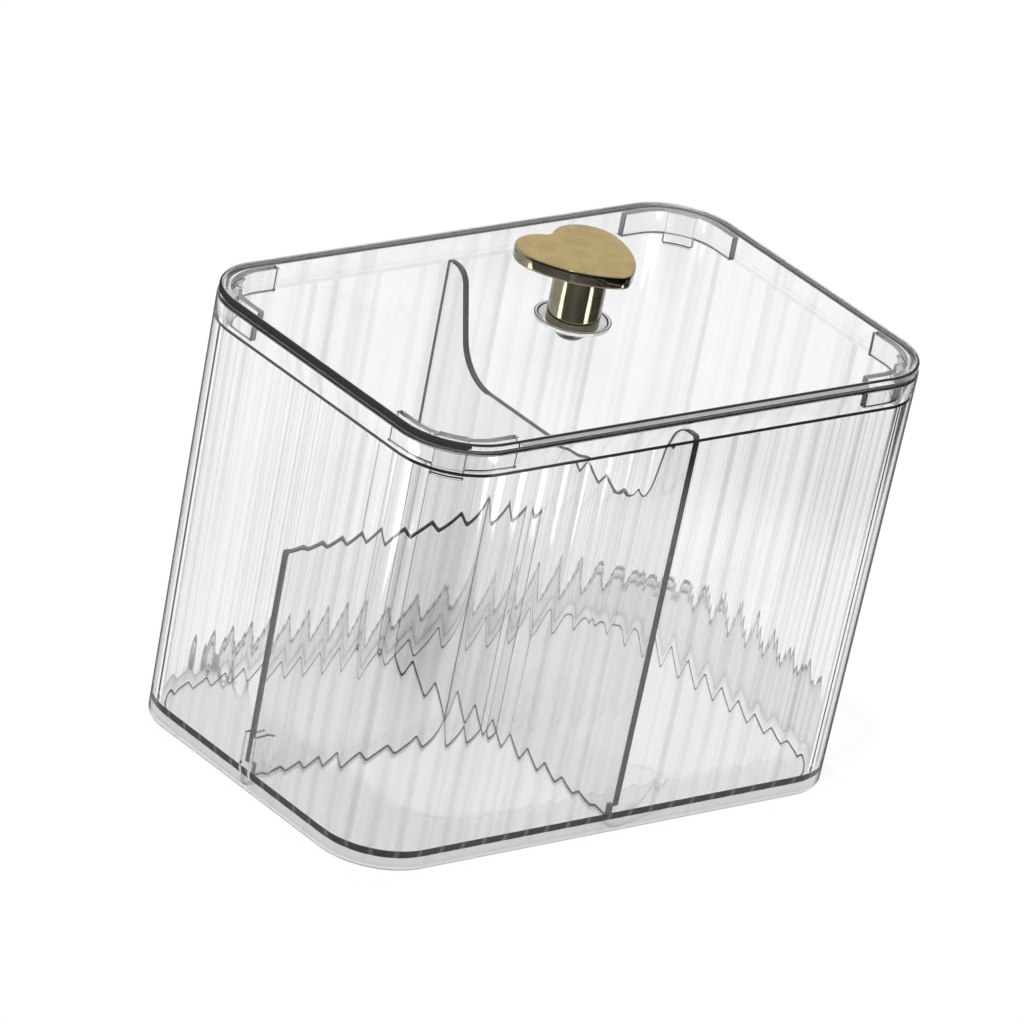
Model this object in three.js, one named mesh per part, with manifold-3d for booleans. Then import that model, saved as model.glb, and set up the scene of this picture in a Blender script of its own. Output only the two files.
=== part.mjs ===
// Clear makeup organizer: a fluted box with two dividers and a lift-off lid with a heart-shaped knob.
// Millimetres, +Z up. The origin is the centre of the box's underside, +X runs along the long side
// to the right and +Y runs to the back.

import * as THREE from 'three'
import { mergeVertices } from 'three/addons/utils/BufferGeometryUtils.js'
import Module from 'manifold-3d'

const wasm = await Module()
wasm.setup()

// Box body
const BOX_LENGTH = 150 // outside, at the rim
const BOX_DEPTH = 98 // outside, at the rim
const BOX_HEIGHT = 107.7 // floor underside to rim
const WALL_DRAFT = 1.7 // how far each side leans in from rim to foot
const CORNER_RADIUS = 17 // outside corners in plan
const WALL_THICKNESS = 2.3 // in the valleys of the flutes
const FLOOR_THICKNESS = 2.2
const FLOOR_ROUND = 1.5 // inner rounding where the walls meet the floor
const FOOT_ROUND = 1 // rounding of the outer edge that the box stands on
const RIM_ROUND = 0.5 // rounding of the outer edge of the rim
const BAND_HEIGHT = 5.5 // smooth inner band between the flutes and the rim
const BAND_STEP = 0.3 // how much thinner the wall is in the band than in a flute's valley
const FLUTE_PITCH = 6.5
const FLUTE_DEPTH = 0.12 // from a flute's valley to the ridge beside it

// Guide ribs that hold the short divider's foot at the left wall
const GUIDE_HEIGHT = 11 // above the floor
const GUIDE_REACH = 5.5 // from the wall inwards
const GUIDE_THICKNESS = 1.5
const GUIDE_GAP = 0.35 // between a rib and the divider beside it
const GUIDE_ROUND = 1.2 // rounding of a rib's free top corner

// Dividers
const DIVIDER_THICKNESS = 2
const DIVIDER_CLEARANCE = 0.35 // between a divider's end and the flute ridges or plate it faces
const NOTCH_WIDTH = 1.6 // cut-outs in the bottom corners, which clear the rounding at the floor
const NOTCH_HEIGHT = 3.4
const HORN_DROP = 5.1 // tops of the tall divider's horns, below the rim
const SCOOP_DEPTH = 24.6 // from the horns' tops to the scoop's flat bottom
const TALL_DIVIDER_X = 1.4 // to the right of the middle
const HORN_WIDTH = 6.1 // at the horn's top
const HORN_FOOT_WIDTH = 13.2 // where the horn's flank would meet the scoop's bottom
const HORN_OUTER_ROUND = 0.8
const HORN_INNER_ROUND = 5
const SCOOP_ROUND = 12
const SHORT_DIVIDER_HEIGHT = 58.4
const SHORT_DIVIDER_Y = 0.8 // behind the middle
const SHORT_DIVIDER_ROUND = 0.8
const GROOVE_DEPTH = 0.7 // upright groove in the tall divider for the short divider's end
const GROOVE_CLEARANCE = 0.3 // round the end in its groove

// Lid
const SEAT_GAP = 0.3 // between pieces that rest on each other
const LID_THICKNESS = 2
const LID_EDGE_ROUND = 0.7
const LID_SHRINK = 0.3 // how far the lid's edge stays inside the box's outline
const LUG_THICKNESS = 1.8
const LUG_HEIGHT = 5.9
const LUG_REACH = 23 // from the box's outside to a lug's end, along each wall
const LUG_CLEARANCE = 0.4 // between a lug and the flute ridges
const LUG_TAB_WIDTH = 8 // along the corner
const LUG_TAB_DROP = 2.3 // how far the tab hangs below its lug
const LUG_TAB_STEP = 0.8 // how far the tab stands in from its lug
const LUG_TAB_INSET = 0.3 // how far the tab's outer face is set back

// Knob
const HEART_THICKNESS = 3.2
const HEART_EDGE_ROUND = 1.1
const HEART_LOBE_RADIUS = 8.2
const HEART_LOBE_SPREAD = 6.4 // lobe centres from the heart's axis
const HEART_LOBE_RISE = 5.5 // lobe centres above the post's axis, in plan
const HEART_TIP_RADIUS = 3.2
const HEART_TIP_DROP = 10.6 // tip centre below the post's axis, in plan
const HEART_FLANK_RADIUS = 24
const HEART_NOTCH_RADIUS = 3
const HEART_TURN = THREE.MathUtils.degToRad(7.7) // how far the tip is turned from the front to the right
const KNOB_HEIGHT = 17 // top of the heart above the lid
const POST_DIAMETER = 12.7
const POST_EDGE = 0.4 // chamfer round the post's foot
const SPIGOT_DIAMETER = 6
const SPIGOT_HEIGHT = 1.6
const SPIGOT_CLEARANCE = 0.3
const COLLAR_FOOT_WALL = 0.35 // at the foot, beyond the clearance round the post
const COLLAR_FLARE = 2.3 // how much wider the rim's radius is than the foot's
const COLLAR_RIM_RISE = 0.9 // rim above the lid's top
const COLLAR_FOOT_DROP = 0.6 // foot below the lid's underside
const COLLAR_LIP = 0.9 // width of the rim
const COLLAR_BASE = 1.4 // thickness of the collar's floor
const COLLAR_CLEARANCE = 0.3 // round the post, and round the collar in the lid
const SCREW_DIAMETER = 3.4
const SCREW_CLEARANCE = 0.3
const SCREW_LENGTH = 10 // under the head
const SCREW_HEAD_DIAMETER = 7.6
const SCREW_HEAD_HEIGHT = 2.4
const SCREW_HEAD_ROUND = 0.9
const SCREW_SLOT_LENGTH = 4.6
const SCREW_SLOT_WIDTH = 1
const SCREW_SLOT_DEPTH = 1.3

const OVERRUN = 1 // how far a cut or a joined piece runs past the face it goes through

// Step counts for curves
const CORNER_STEPS = 10
const EDGE_STEPS = 3
const FLUTE_STEPS = 4
const FILLET_STEPS = 8
const ROUND_STEPS = 40

// Derived levels
const LEDGE_Z = BOX_HEIGHT - BAND_HEIGHT
const LID_BOTTOM = BOX_HEIGHT + SEAT_GAP
const LID_TOP = LID_BOTTOM + LID_THICKNESS
const DIVIDER_FOOT = FLOOR_THICKNESS + SEAT_GAP
const TALL_DIVIDER_TOP = BOX_HEIGHT - HORN_DROP
const SHORT_DIVIDER_TOP = DIVIDER_FOOT + SHORT_DIVIDER_HEIGHT
const COLLAR_FOOT_RADIUS = POST_DIAMETER / 2 + COLLAR_CLEARANCE + COLLAR_FOOT_WALL
const COLLAR_RIM_RADIUS = COLLAR_FOOT_RADIUS + COLLAR_FLARE

// Materials
const clearPlastic = (name) =>
  new THREE.MeshStandardMaterial({
    name, color: '#eef0f0', roughness: 0.05, metalness: 0, transparent: true, opacity: 0.35, flatShading: true,
  })
const metal = (name, color, roughness) =>
  new THREE.MeshStandardMaterial({ name, color, roughness, metalness: 1, flatShading: true })

// Solids

function toManifold(geometry) {
  const plain = geometry.clone()
  plain.deleteAttribute('normal')
  plain.deleteAttribute('uv')
  const merged = mergeVertices(plain)
  return new wasm.Manifold(new wasm.Mesh({
    numProp: 3,
    vertProperties: new Float32Array(merged.attributes.position.array),
    triVerts: new Uint32Array(merged.index.array),
  }))
}

function toGeometry(manifold) {
  const mesh = manifold.getMesh()
  const geometry = new THREE.BufferGeometry()
  geometry.setAttribute('position', new THREE.BufferAttribute(mesh.vertProperties, mesh.numProp))
  geometry.setIndex(new THREE.BufferAttribute(mesh.triVerts, 1))
  return geometry
}

// Closed solid through a stack of rings that all have the same number of points
function loft(rings) {
  const count = rings[0].length
  const positions = rings.flat().flatMap((point) => [point.x, point.y, point.z])
  const index = []
  for (let level = 0; level < rings.length - 1; level += 1) {
    for (let i = 0; i < count; i += 1) {
      const a = level * count + i
      const b = level * count + (i + 1) % count
      index.push(a, b, b + count, a, b + count, a + count)
    }
  }
  const last = (rings.length - 1) * count
  const cap = (ring) => THREE.ShapeUtils.triangulateShape(ring.map((p) => new THREE.Vector2(p.x, p.y)), [])
  for (const [a, b, c] of cap(rings[0])) index.push(a, c, b)
  for (const [a, b, c] of cap(rings.at(-1))) index.push(last + a, last + b, last + c)
  const geometry = new THREE.BufferGeometry()
  geometry.setAttribute('position', new THREE.Float32BufferAttribute(positions, 3))
  geometry.setIndex(index)
  return geometry
}

// Solid of revolution about +Z from a profile of [radius, height] points
function revolve(profile) {
  const points = profile.map(([radius, height]) => new THREE.Vector2(radius, height))
  return new THREE.LatheGeometry(points, ROUND_STEPS).rotateX(Math.PI / 2)
}

function cylinder(topRadius, bottomRadius, bottom, top) {
  return new THREE.CylinderGeometry(topRadius, bottomRadius, top - bottom, ROUND_STEPS)
    .rotateX(Math.PI / 2)
    .translate(0, 0, (top + bottom) / 2)
}

// Flat plate from an outline in its own plane, centred on that plane
function plate(points, thickness) {
  return new THREE.ExtrudeGeometry(new THREE.Shape(points), { depth: thickness, bevelEnabled: false })
    .translate(0, 0, -thickness / 2)
}

// Stands a plate's own X and Y up along the box's Y and Z, facing X
const standAcross = new THREE.Matrix4().makeBasis(
  new THREE.Vector3(0, 1, 0), new THREE.Vector3(0, 0, 1), new THREE.Vector3(1, 0, 0))
// Stands a plate's own X and Y up along the box's X and Z, facing -Y
const standAlong = new THREE.Matrix4().makeRotationX(Math.PI / 2)

// Outlines

function arc(x, y, radius, start, end, steps) {
  const points = []
  for (let i = 0; i <= steps; i += 1) {
    const angle = start + (end - start) * i / steps
    points.push(new THREE.Vector2(x + radius * Math.cos(angle), y + radius * Math.sin(angle)))
  }
  return points
}

// Outline through corners given as [x, y, round], each corner rounded by an arc where round isn't 0
function filleted(corners) {
  return corners.flatMap(([x, y, round], i) => {
    const here = new THREE.Vector2(x, y)
    if (round === 0) return [here]
    const before = new THREE.Vector2(...corners.at(i - 1)).sub(here).normalize()
    const after = new THREE.Vector2(...corners[(i + 1) % corners.length]).sub(here).normalize()
    const half = before.angleTo(after) / 2
    const centre = before.clone().add(after).normalize().multiplyScalar(round / Math.sin(half)).add(here)
    const reach = round / Math.tan(half)
    const start = before.multiplyScalar(reach).add(here).sub(centre)
    const end = after.multiplyScalar(reach).add(here).sub(centre)
    const turn = Math.atan2(start.cross(end), start.dot(end))
    return arc(centre.x, centre.y, round, start.angle(), start.angle() + turn, FILLET_STEPS)
  })
}

// Half the box's outside size at a height, less an inset
function halfLength(z, inset) {
  return BOX_LENGTH / 2 - WALL_DRAFT * (1 - z / BOX_HEIGHT) - inset
}

function halfDepth(z, inset) {
  return BOX_DEPTH / 2 - WALL_DRAFT * (1 - z / BOX_HEIGHT) - inset
}

// Four stretches of the wall's outline, each a straight run and the corner after it, as functions of
// a share from 0 to 1 that give a point and its outward direction
function wallStretches(z, inset) {
  const x = halfLength(z, inset)
  const y = halfDepth(z, inset)
  const radius = CORNER_RADIUS - inset
  const stretches = []
  for (let side = 0; side < 4; side += 1) {
    const facing = (side - 1) * Math.PI / 2
    const out = new THREE.Vector2(Math.cos(facing), Math.sin(facing))
    const along = new THREE.Vector2(-out.y, out.x)
    const isLong = side % 2 === 0
    const reach = isLong ? y : x
    const run = (isLong ? x : y) - radius
    stretches.push({
      flutes: Math.round(2 * ((isLong ? BOX_LENGTH : BOX_DEPTH) / 2 - CORNER_RADIUS) / FLUTE_PITCH),
      at: (share) => ({
        point: out.clone().multiplyScalar(reach).addScaledVector(along, run * (2 * share - 1)),
        out,
      }),
    })
    const centre = out.clone().multiplyScalar(reach - radius).addScaledVector(along, run)
    stretches.push({
      flutes: Math.max(1, Math.round((CORNER_RADIUS - WALL_THICKNESS) * Math.PI / 2 / FLUTE_PITCH)),
      at: (share) => {
        const direction = out.clone().rotateAround(new THREE.Vector2(), share * Math.PI / 2)
        return { point: centre.clone().addScaledVector(direction, radius), out: direction }
      },
    })
  }
  return stretches
}

// Ring of the smooth wall outline at a height
function smoothRing(z, inset) {
  return wallStretches(z, inset).flatMap(({ at }, i) => {
    const steps = i % 2 === 0 ? 1 : CORNER_STEPS
    return Array.from({ length: steps }, (_, k) => {
      const { point } = at(k / steps)
      return new THREE.Vector3(point.x, point.y, z)
    })
  })
}

// Ring of the fluted inner wall: shallow scallops that meet in ridges, which stand inwards
function flutedRing(z, inset) {
  return wallStretches(z, inset).flatMap(({ at, flutes }) => {
    const steps = flutes * FLUTE_STEPS
    return Array.from({ length: steps }, (_, k) => {
      const { point, out } = at(k / steps)
      const across = 2 * (k % FLUTE_STEPS) / FLUTE_STEPS - 1
      point.addScaledVector(out, -FLUTE_DEPTH * across * across)
      return new THREE.Vector3(point.x, point.y, z)
    })
  })
}

// Rings of the rounding where the fluted wall meets the floor
function floorRounding() {
  const rings = []
  for (let i = 0; i <= EDGE_STEPS; i += 1) {
    const angle = i / EDGE_STEPS * Math.PI / 2
    const rise = FLOOR_ROUND * (1 - Math.cos(angle))
    rings.push(flutedRing(FLOOR_THICKNESS + rise, WALL_THICKNESS + FLOOR_ROUND * (1 - Math.sin(angle))))
  }
  return rings
}

// Rings of a quarter-round edge between a flat face and the wall above or below it
function roundedEdge(z, inset, round, up) {
  const rings = []
  for (let i = 0; i <= EDGE_STEPS; i += 1) {
    const angle = i / EDGE_STEPS * Math.PI / 2
    const rise = round * (1 - Math.cos(angle))
    rings.push(smoothRing(z + (up ? rise : -rise), inset + round * (1 - Math.sin(angle))))
  }
  return up ? rings : rings.reverse()
}

// Box body

// One guide rib, drawn from the wall inwards along +X, with its root sunk into wall and floor
function guideRib() {
  const root = -FLUTE_DEPTH - WALL_THICKNESS / 2
  const foot = FLOOR_THICKNESS / 2
  const top = FLOOR_THICKNESS + GUIDE_HEIGHT
  const outline = filleted([
    [root, foot, 0],
    [GUIDE_REACH, foot, 0],
    [GUIDE_REACH, top, GUIDE_ROUND],
    [root, top, 0],
  ])
  return plate(outline, GUIDE_THICKNESS).applyMatrix4(standAlong)
}

// Two ribs on the left wall, either side of the short divider's foot
function guidePair() {
  const wallX = halfLength(FLOOR_THICKNESS, WALL_THICKNESS + FLUTE_DEPTH)
  const offset = DIVIDER_THICKNESS / 2 + GUIDE_GAP + GUIDE_THICKNESS / 2
  return [-offset, offset].map((side) => guideRib().translate(-wallX, SHORT_DIVIDER_Y + side, 0))
}

function boxBody() {
  const outside = loft([
    ...roundedEdge(0, 0, FOOT_ROUND, true),
    ...roundedEdge(BOX_HEIGHT, 0, RIM_ROUND, false),
  ])
  const flutedHollow = loft([...floorRounding(), flutedRing(LEDGE_Z + OVERRUN, WALL_THICKNESS)])
  const bandInset = WALL_THICKNESS - BAND_STEP
  const bandHollow = loft([smoothRing(LEDGE_Z, bandInset), smoothRing(BOX_HEIGHT + OVERRUN, bandInset)])
  const hollowed = toManifold(outside).subtract(toManifold(flutedHollow)).subtract(toManifold(bandHollow))
  return guidePair().reduce((solid, rib) => solid.add(toManifold(rib)), hollowed)
}

// Dividers

function tallDivider() {
  const reach = (z) => halfDepth(z, WALL_THICKNESS + FLUTE_DEPTH + DIVIDER_CLEARANCE)
  const top = TALL_DIVIDER_TOP
  const rightHalf = [
    [reach(DIVIDER_FOOT) - NOTCH_WIDTH, DIVIDER_FOOT, 0],
    [reach(DIVIDER_FOOT) - NOTCH_WIDTH, DIVIDER_FOOT + NOTCH_HEIGHT, 0],
    [reach(DIVIDER_FOOT), DIVIDER_FOOT + NOTCH_HEIGHT, 0],
    [reach(top), top, HORN_OUTER_ROUND],
    [reach(top) - HORN_WIDTH, top, HORN_INNER_ROUND],
    [reach(top) - HORN_FOOT_WIDTH, top - SCOOP_DEPTH, SCOOP_ROUND],
  ]
  const leftHalf = rightHalf.map(([y, z, round]) => [-y, z, round]).reverse()
  const panel = plate(filleted([...rightHalf, ...leftHalf]), DIVIDER_THICKNESS)
    .applyMatrix4(standAcross)
    .translate(TALL_DIVIDER_X, 0, 0)
  const grooveWidth = DIVIDER_THICKNESS + 2 * GROOVE_CLEARANCE
  const grooveTop = SHORT_DIVIDER_TOP + GROOVE_CLEARANCE
  const groove = new THREE.BoxGeometry(2 * GROOVE_DEPTH, grooveWidth, grooveTop)
    .translate(TALL_DIVIDER_X - DIVIDER_THICKNESS / 2, SHORT_DIVIDER_Y, grooveTop / 2)
  return toManifold(panel).subtract(toManifold(groove))
}

function shortDivider() {
  const outer = (z) => -halfLength(z, WALL_THICKNESS + FLUTE_DEPTH + DIVIDER_CLEARANCE)
  const inner = TALL_DIVIDER_X - DIVIDER_THICKNESS / 2 + GROOVE_DEPTH - GROOVE_CLEARANCE
  const outline = filleted([
    [outer(DIVIDER_FOOT) + NOTCH_WIDTH, DIVIDER_FOOT, 0],
    [inner, DIVIDER_FOOT, 0],
    [inner, SHORT_DIVIDER_TOP, 0],
    [outer(SHORT_DIVIDER_TOP), SHORT_DIVIDER_TOP, SHORT_DIVIDER_ROUND],
    [outer(DIVIDER_FOOT), DIVIDER_FOOT + NOTCH_HEIGHT, 0],
    [outer(DIVIDER_FOOT) + NOTCH_WIDTH, DIVIDER_FOOT + NOTCH_HEIGHT, 0],
  ])
  return plate(outline, DIVIDER_THICKNESS).applyMatrix4(standAlong).translate(0, SHORT_DIVIDER_Y, 0)
}

// Lid

// Outline of one corner's lug as a curved L strip, in the quadrant given by two signs
function lugOutline(signX, signY) {
  const inset = WALL_THICKNESS + FLUTE_DEPTH + LUG_CLEARANCE
  const x = halfLength(LEDGE_Z, inset)
  const y = halfDepth(LEDGE_Z, inset)
  const radius = CORNER_RADIUS - inset
  const endX = BOX_LENGTH / 2 - LUG_REACH
  const endY = BOX_DEPTH / 2 - LUG_REACH
  const outer = arc(x - radius, y - radius, radius, 0, Math.PI / 2, CORNER_STEPS)
  const inner = arc(x - radius, y - radius, radius - LUG_THICKNESS, Math.PI / 2, 0, CORNER_STEPS)
  const points = [
    new THREE.Vector2(x, endY), ...outer, new THREE.Vector2(endX, y),
    new THREE.Vector2(endX, y - LUG_THICKNESS), ...inner, new THREE.Vector2(x - LUG_THICKNESS, endY),
  ]
  return points.map((point) => new THREE.Vector2(signX * point.x, signY * point.y))
}

// Outline of the deeper tab at the middle of a corner's lug
function tabOutline(signX, signY) {
  const inset = WALL_THICKNESS + FLUTE_DEPTH + LUG_CLEARANCE
  const radius = CORNER_RADIUS - inset
  const x = halfLength(LEDGE_Z, inset) - radius
  const y = halfDepth(LEDGE_Z, inset) - radius
  const half = LUG_TAB_WIDTH / 2 / radius
  const middle = Math.PI / 4
  const steps = CORNER_STEPS / 2
  const outer = arc(x, y, radius - LUG_TAB_INSET, middle - half, middle + half, steps)
  const inner = arc(x, y, radius - LUG_THICKNESS - LUG_TAB_STEP, middle + half, middle - half, steps)
  return [...outer, ...inner].map((point) => new THREE.Vector2(signX * point.x, signY * point.y))
}

// Hangs an outline below the lid by a height, with its root sunk into the plate
function hung(outline, height) {
  const root = LID_THICKNESS / 2
  return plate(outline, height + root).translate(0, 0, LID_BOTTOM + (root - height) / 2)
}

// Radius of the collar's outer cone at a height
function collarRadius(z) {
  const foot = LID_BOTTOM - COLLAR_FOOT_DROP
  const rim = LID_TOP + COLLAR_RIM_RISE
  return THREE.MathUtils.mapLinear(z, foot, rim, COLLAR_FOOT_RADIUS, COLLAR_RIM_RADIUS)
}

function lid() {
  const sheet = loft([
    ...roundedEdge(LID_BOTTOM, LID_SHRINK, LID_EDGE_ROUND, true),
    ...roundedEdge(LID_TOP, LID_SHRINK, LID_EDGE_ROUND, false),
  ])
  const hole = cylinder(
    collarRadius(LID_TOP + OVERRUN) + COLLAR_CLEARANCE,
    collarRadius(LID_BOTTOM - OVERRUN) + COLLAR_CLEARANCE,
    LID_BOTTOM - OVERRUN,
    LID_TOP + OVERRUN)
  const corners = [[1, 1], [-1, 1], [-1, -1], [1, -1]]
  const lugs = corners.flatMap(([signX, signY]) => [
    hung(lugOutline(signX, signY), LUG_HEIGHT),
    hung(tabOutline(signX, signY), LUG_HEIGHT + LUG_TAB_DROP),
  ])
  return lugs.reduce((solid, lug) => solid.add(toManifold(lug)), toManifold(sheet)).subtract(toManifold(hole))
}

// Knob

// Heart outline from two lobes, a notch between them, two long flanks and a round tip
function heartOutline() {
  const lobe = new THREE.Vector2(HEART_LOBE_SPREAD, HEART_LOBE_RISE)
  const tip = new THREE.Vector2(0, -HEART_TIP_DROP)
  const toLobe = HEART_FLANK_RADIUS - HEART_LOBE_RADIUS
  const toTip = HEART_FLANK_RADIUS - HEART_TIP_RADIUS
  const span = lobe.distanceTo(tip)
  const share = (toTip ** 2 - toLobe ** 2 + span ** 2) / (2 * span)
  const axis = lobe.clone().sub(tip).normalize()
  const side = new THREE.Vector2(-axis.y, axis.x)
  const flank = tip.clone()
    .addScaledVector(axis, share)
    .addScaledVector(side, Math.sqrt(toTip ** 2 - share ** 2))
  const flankStart = tip.clone().sub(flank).angle() - 2 * Math.PI
  const flankEnd = Math.atan2(lobe.y - flank.y, lobe.x - flank.x)
  const notchRise = Math.sqrt((HEART_LOBE_RADIUS + HEART_NOTCH_RADIUS) ** 2 - lobe.x ** 2)
  const lobeEnd = Math.atan2(notchRise, -lobe.x)
  const notchStart = lobeEnd - Math.PI
  const rightHalf = [
    ...arc(0, tip.y, HEART_TIP_RADIUS, -Math.PI / 2, flankStart, FILLET_STEPS / 2),
    ...arc(flank.x, flank.y, HEART_FLANK_RADIUS, flankStart, flankEnd, FILLET_STEPS).slice(1),
    ...arc(lobe.x, lobe.y, HEART_LOBE_RADIUS, flankEnd, lobeEnd, FILLET_STEPS).slice(1),
    ...arc(0, lobe.y + notchRise, HEART_NOTCH_RADIUS, notchStart, -Math.PI / 2, FILLET_STEPS / 2).slice(1),
  ]
  const leftHalf = rightHalf.slice(1, -1).reverse().map((point) => new THREE.Vector2(-point.x, point.y))
  return [...rightHalf, ...leftHalf]
}

function knobHeart() {
  const bottom = LID_TOP + KNOB_HEIGHT - HEART_THICKNESS
  const slab = new THREE.ExtrudeGeometry(new THREE.Shape(heartOutline()), {
    depth: HEART_THICKNESS - 2 * HEART_EDGE_ROUND,
    bevelEnabled: true,
    bevelThickness: HEART_EDGE_ROUND,
    bevelSize: HEART_EDGE_ROUND,
    bevelOffset: -HEART_EDGE_ROUND,
    bevelSegments: EDGE_STEPS,
  }).translate(0, 0, bottom + HEART_EDGE_ROUND)
  const socketRadius = SPIGOT_DIAMETER / 2 + SPIGOT_CLEARANCE
  const socketTop = bottom + SPIGOT_HEIGHT
  const socket = cylinder(socketRadius, socketRadius, bottom - OVERRUN, socketTop)
  return toManifold(slab).subtract(toManifold(socket))
}

function knobPost() {
  const foot = LID_BOTTOM - COLLAR_FOOT_DROP + COLLAR_BASE + SEAT_GAP
  const shoulder = LID_TOP + KNOB_HEIGHT - HEART_THICKNESS - SEAT_GAP
  const radius = POST_DIAMETER / 2
  const bore = SCREW_DIAMETER / 2 + SCREW_CLEARANCE
  const boreTop = LID_BOTTOM - COLLAR_FOOT_DROP - SEAT_GAP + SCREW_LENGTH + SCREW_CLEARANCE
  return revolve([
    [0, boreTop],
    [bore, boreTop],
    [bore, foot],
    [radius - POST_EDGE, foot],
    [radius, foot + POST_EDGE],
    [radius, shoulder],
    [SPIGOT_DIAMETER / 2, shoulder],
    [SPIGOT_DIAMETER / 2, shoulder + SPIGOT_HEIGHT],
    [0, shoulder + SPIGOT_HEIGHT],
  ])
}

function knobCollar() {
  const foot = LID_BOTTOM - COLLAR_FOOT_DROP
  const rim = LID_TOP + COLLAR_RIM_RISE
  const cup = foot + COLLAR_BASE
  const hole = SCREW_DIAMETER / 2 + SCREW_CLEARANCE
  const cupRadius = POST_DIAMETER / 2 + COLLAR_CLEARANCE
  const profile = [
    [hole, foot],
    [COLLAR_FOOT_RADIUS, foot],
    [COLLAR_RIM_RADIUS, rim],
    [COLLAR_RIM_RADIUS - COLLAR_LIP, rim],
    [cupRadius, cup + COLLAR_LIP],
    [cupRadius, cup],
    [hole, cup],
  ]
  return revolve([...profile, profile[0]])
}

function knobScrew() {
  const seat = LID_BOTTOM - COLLAR_FOOT_DROP - SEAT_GAP
  const head = seat - SCREW_HEAD_HEIGHT
  const shank = SCREW_DIAMETER / 2
  const headRadius = SCREW_HEAD_DIAMETER / 2
  const screw = revolve([
    [0, head],
    [headRadius - SCREW_HEAD_ROUND, head],
    [headRadius, head + SCREW_HEAD_ROUND],
    [headRadius, seat],
    [shank, seat],
    [shank, seat + SCREW_LENGTH],
    [0, seat + SCREW_LENGTH],
  ])
  const slot = new THREE.BoxGeometry(SCREW_SLOT_LENGTH, SCREW_SLOT_WIDTH, 2 * SCREW_SLOT_DEPTH)
  const along = toManifold(slot.clone().translate(0, 0, head))
  const across = toManifold(slot.clone().rotateZ(Math.PI / 2).translate(0, 0, head))
  return toManifold(screw).subtract(along.add(across))
}

// Assembly

const group = new THREE.Group()

function place(name, geometry, material) {
  const mesh = new THREE.Mesh(geometry, material)
  mesh.name = name
  group.add(mesh)
  return mesh
}

place('box_body', toGeometry(boxBody()), clearPlastic('clear box'))
place('tall_divider', toGeometry(tallDivider()), clearPlastic('clear divider'))
place('short_divider', shortDivider(), clearPlastic('clear divider'))
place('lid', toGeometry(lid()), clearPlastic('clear lid'))
place('knob_heart', toGeometry(knobHeart()), metal('gold plate', '#c3a464', 0.3)).rotation.z = HEART_TURN
place('knob_post', knobPost(), metal('polished gold plate', '#c9b27a', 0.08))
place('knob_collar', knobCollar(), clearPlastic('clear collar'))
place('knob_screw', toGeometry(knobScrew()), metal('zinc plated steel', '#8c8d8f', 0.35))

export default group
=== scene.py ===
"""Looks of a clear makeup organizer: a fluted box with two dividers and a lid with a gold heart knob."""

import math

import bmesh
import bpy
from bpy.props import FloatProperty, FloatVectorProperty, IntProperty, PointerProperty
from mathutils import Euler, Matrix, Vector


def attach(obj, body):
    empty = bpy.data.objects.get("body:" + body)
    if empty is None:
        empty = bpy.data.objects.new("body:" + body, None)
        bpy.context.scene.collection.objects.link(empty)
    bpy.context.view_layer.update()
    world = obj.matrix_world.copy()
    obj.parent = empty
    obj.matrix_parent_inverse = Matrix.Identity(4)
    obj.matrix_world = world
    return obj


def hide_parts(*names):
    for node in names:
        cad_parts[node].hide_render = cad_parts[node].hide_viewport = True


bl_info = {
    "name": "Clear Makeup Organizer",
    "version": (1, 0, 0),
    "blender": (4, 5, 0),
    "location": "View3D > Sidebar > Organizer",
    "description": "Builds the looks of a clear fluted box with dividers and a lid with a heart-shaped knob",
    "category": "Add Mesh",
}

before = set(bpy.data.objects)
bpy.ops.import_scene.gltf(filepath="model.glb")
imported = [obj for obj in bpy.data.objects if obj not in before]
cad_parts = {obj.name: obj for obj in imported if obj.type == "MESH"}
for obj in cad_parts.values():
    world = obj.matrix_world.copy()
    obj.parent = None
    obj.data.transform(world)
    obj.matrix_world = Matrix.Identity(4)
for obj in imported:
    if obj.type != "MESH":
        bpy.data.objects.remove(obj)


# Settings


def length(name, description, default):
    return FloatProperty(name=name, description=description, default=default, min=0, unit="LENGTH")


def share(name, description, default, least=0.0):
    return FloatProperty(name=name, description=description, default=default, min=least, max=1)


def strength(name, description, default):
    return FloatProperty(name=name, description=description, default=default, min=0)


def linear(hex_colour):
    """Linear RGBA of an sRGB colour such as #c3a464."""
    parts = [int(hex_colour[i : i + 2], 16) / 255 for i in (1, 3, 5)]
    return tuple(c / 12.92 if c <= 0.04045 else ((c + 0.055) / 1.055) ** 2.4 for c in parts) + (1,)


def tinted(name, description, hex_colour):
    return FloatVectorProperty(
        name=name, description=description, default=linear(hex_colour), size=4, min=0, max=1, subtype="COLOR"
    )


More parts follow.
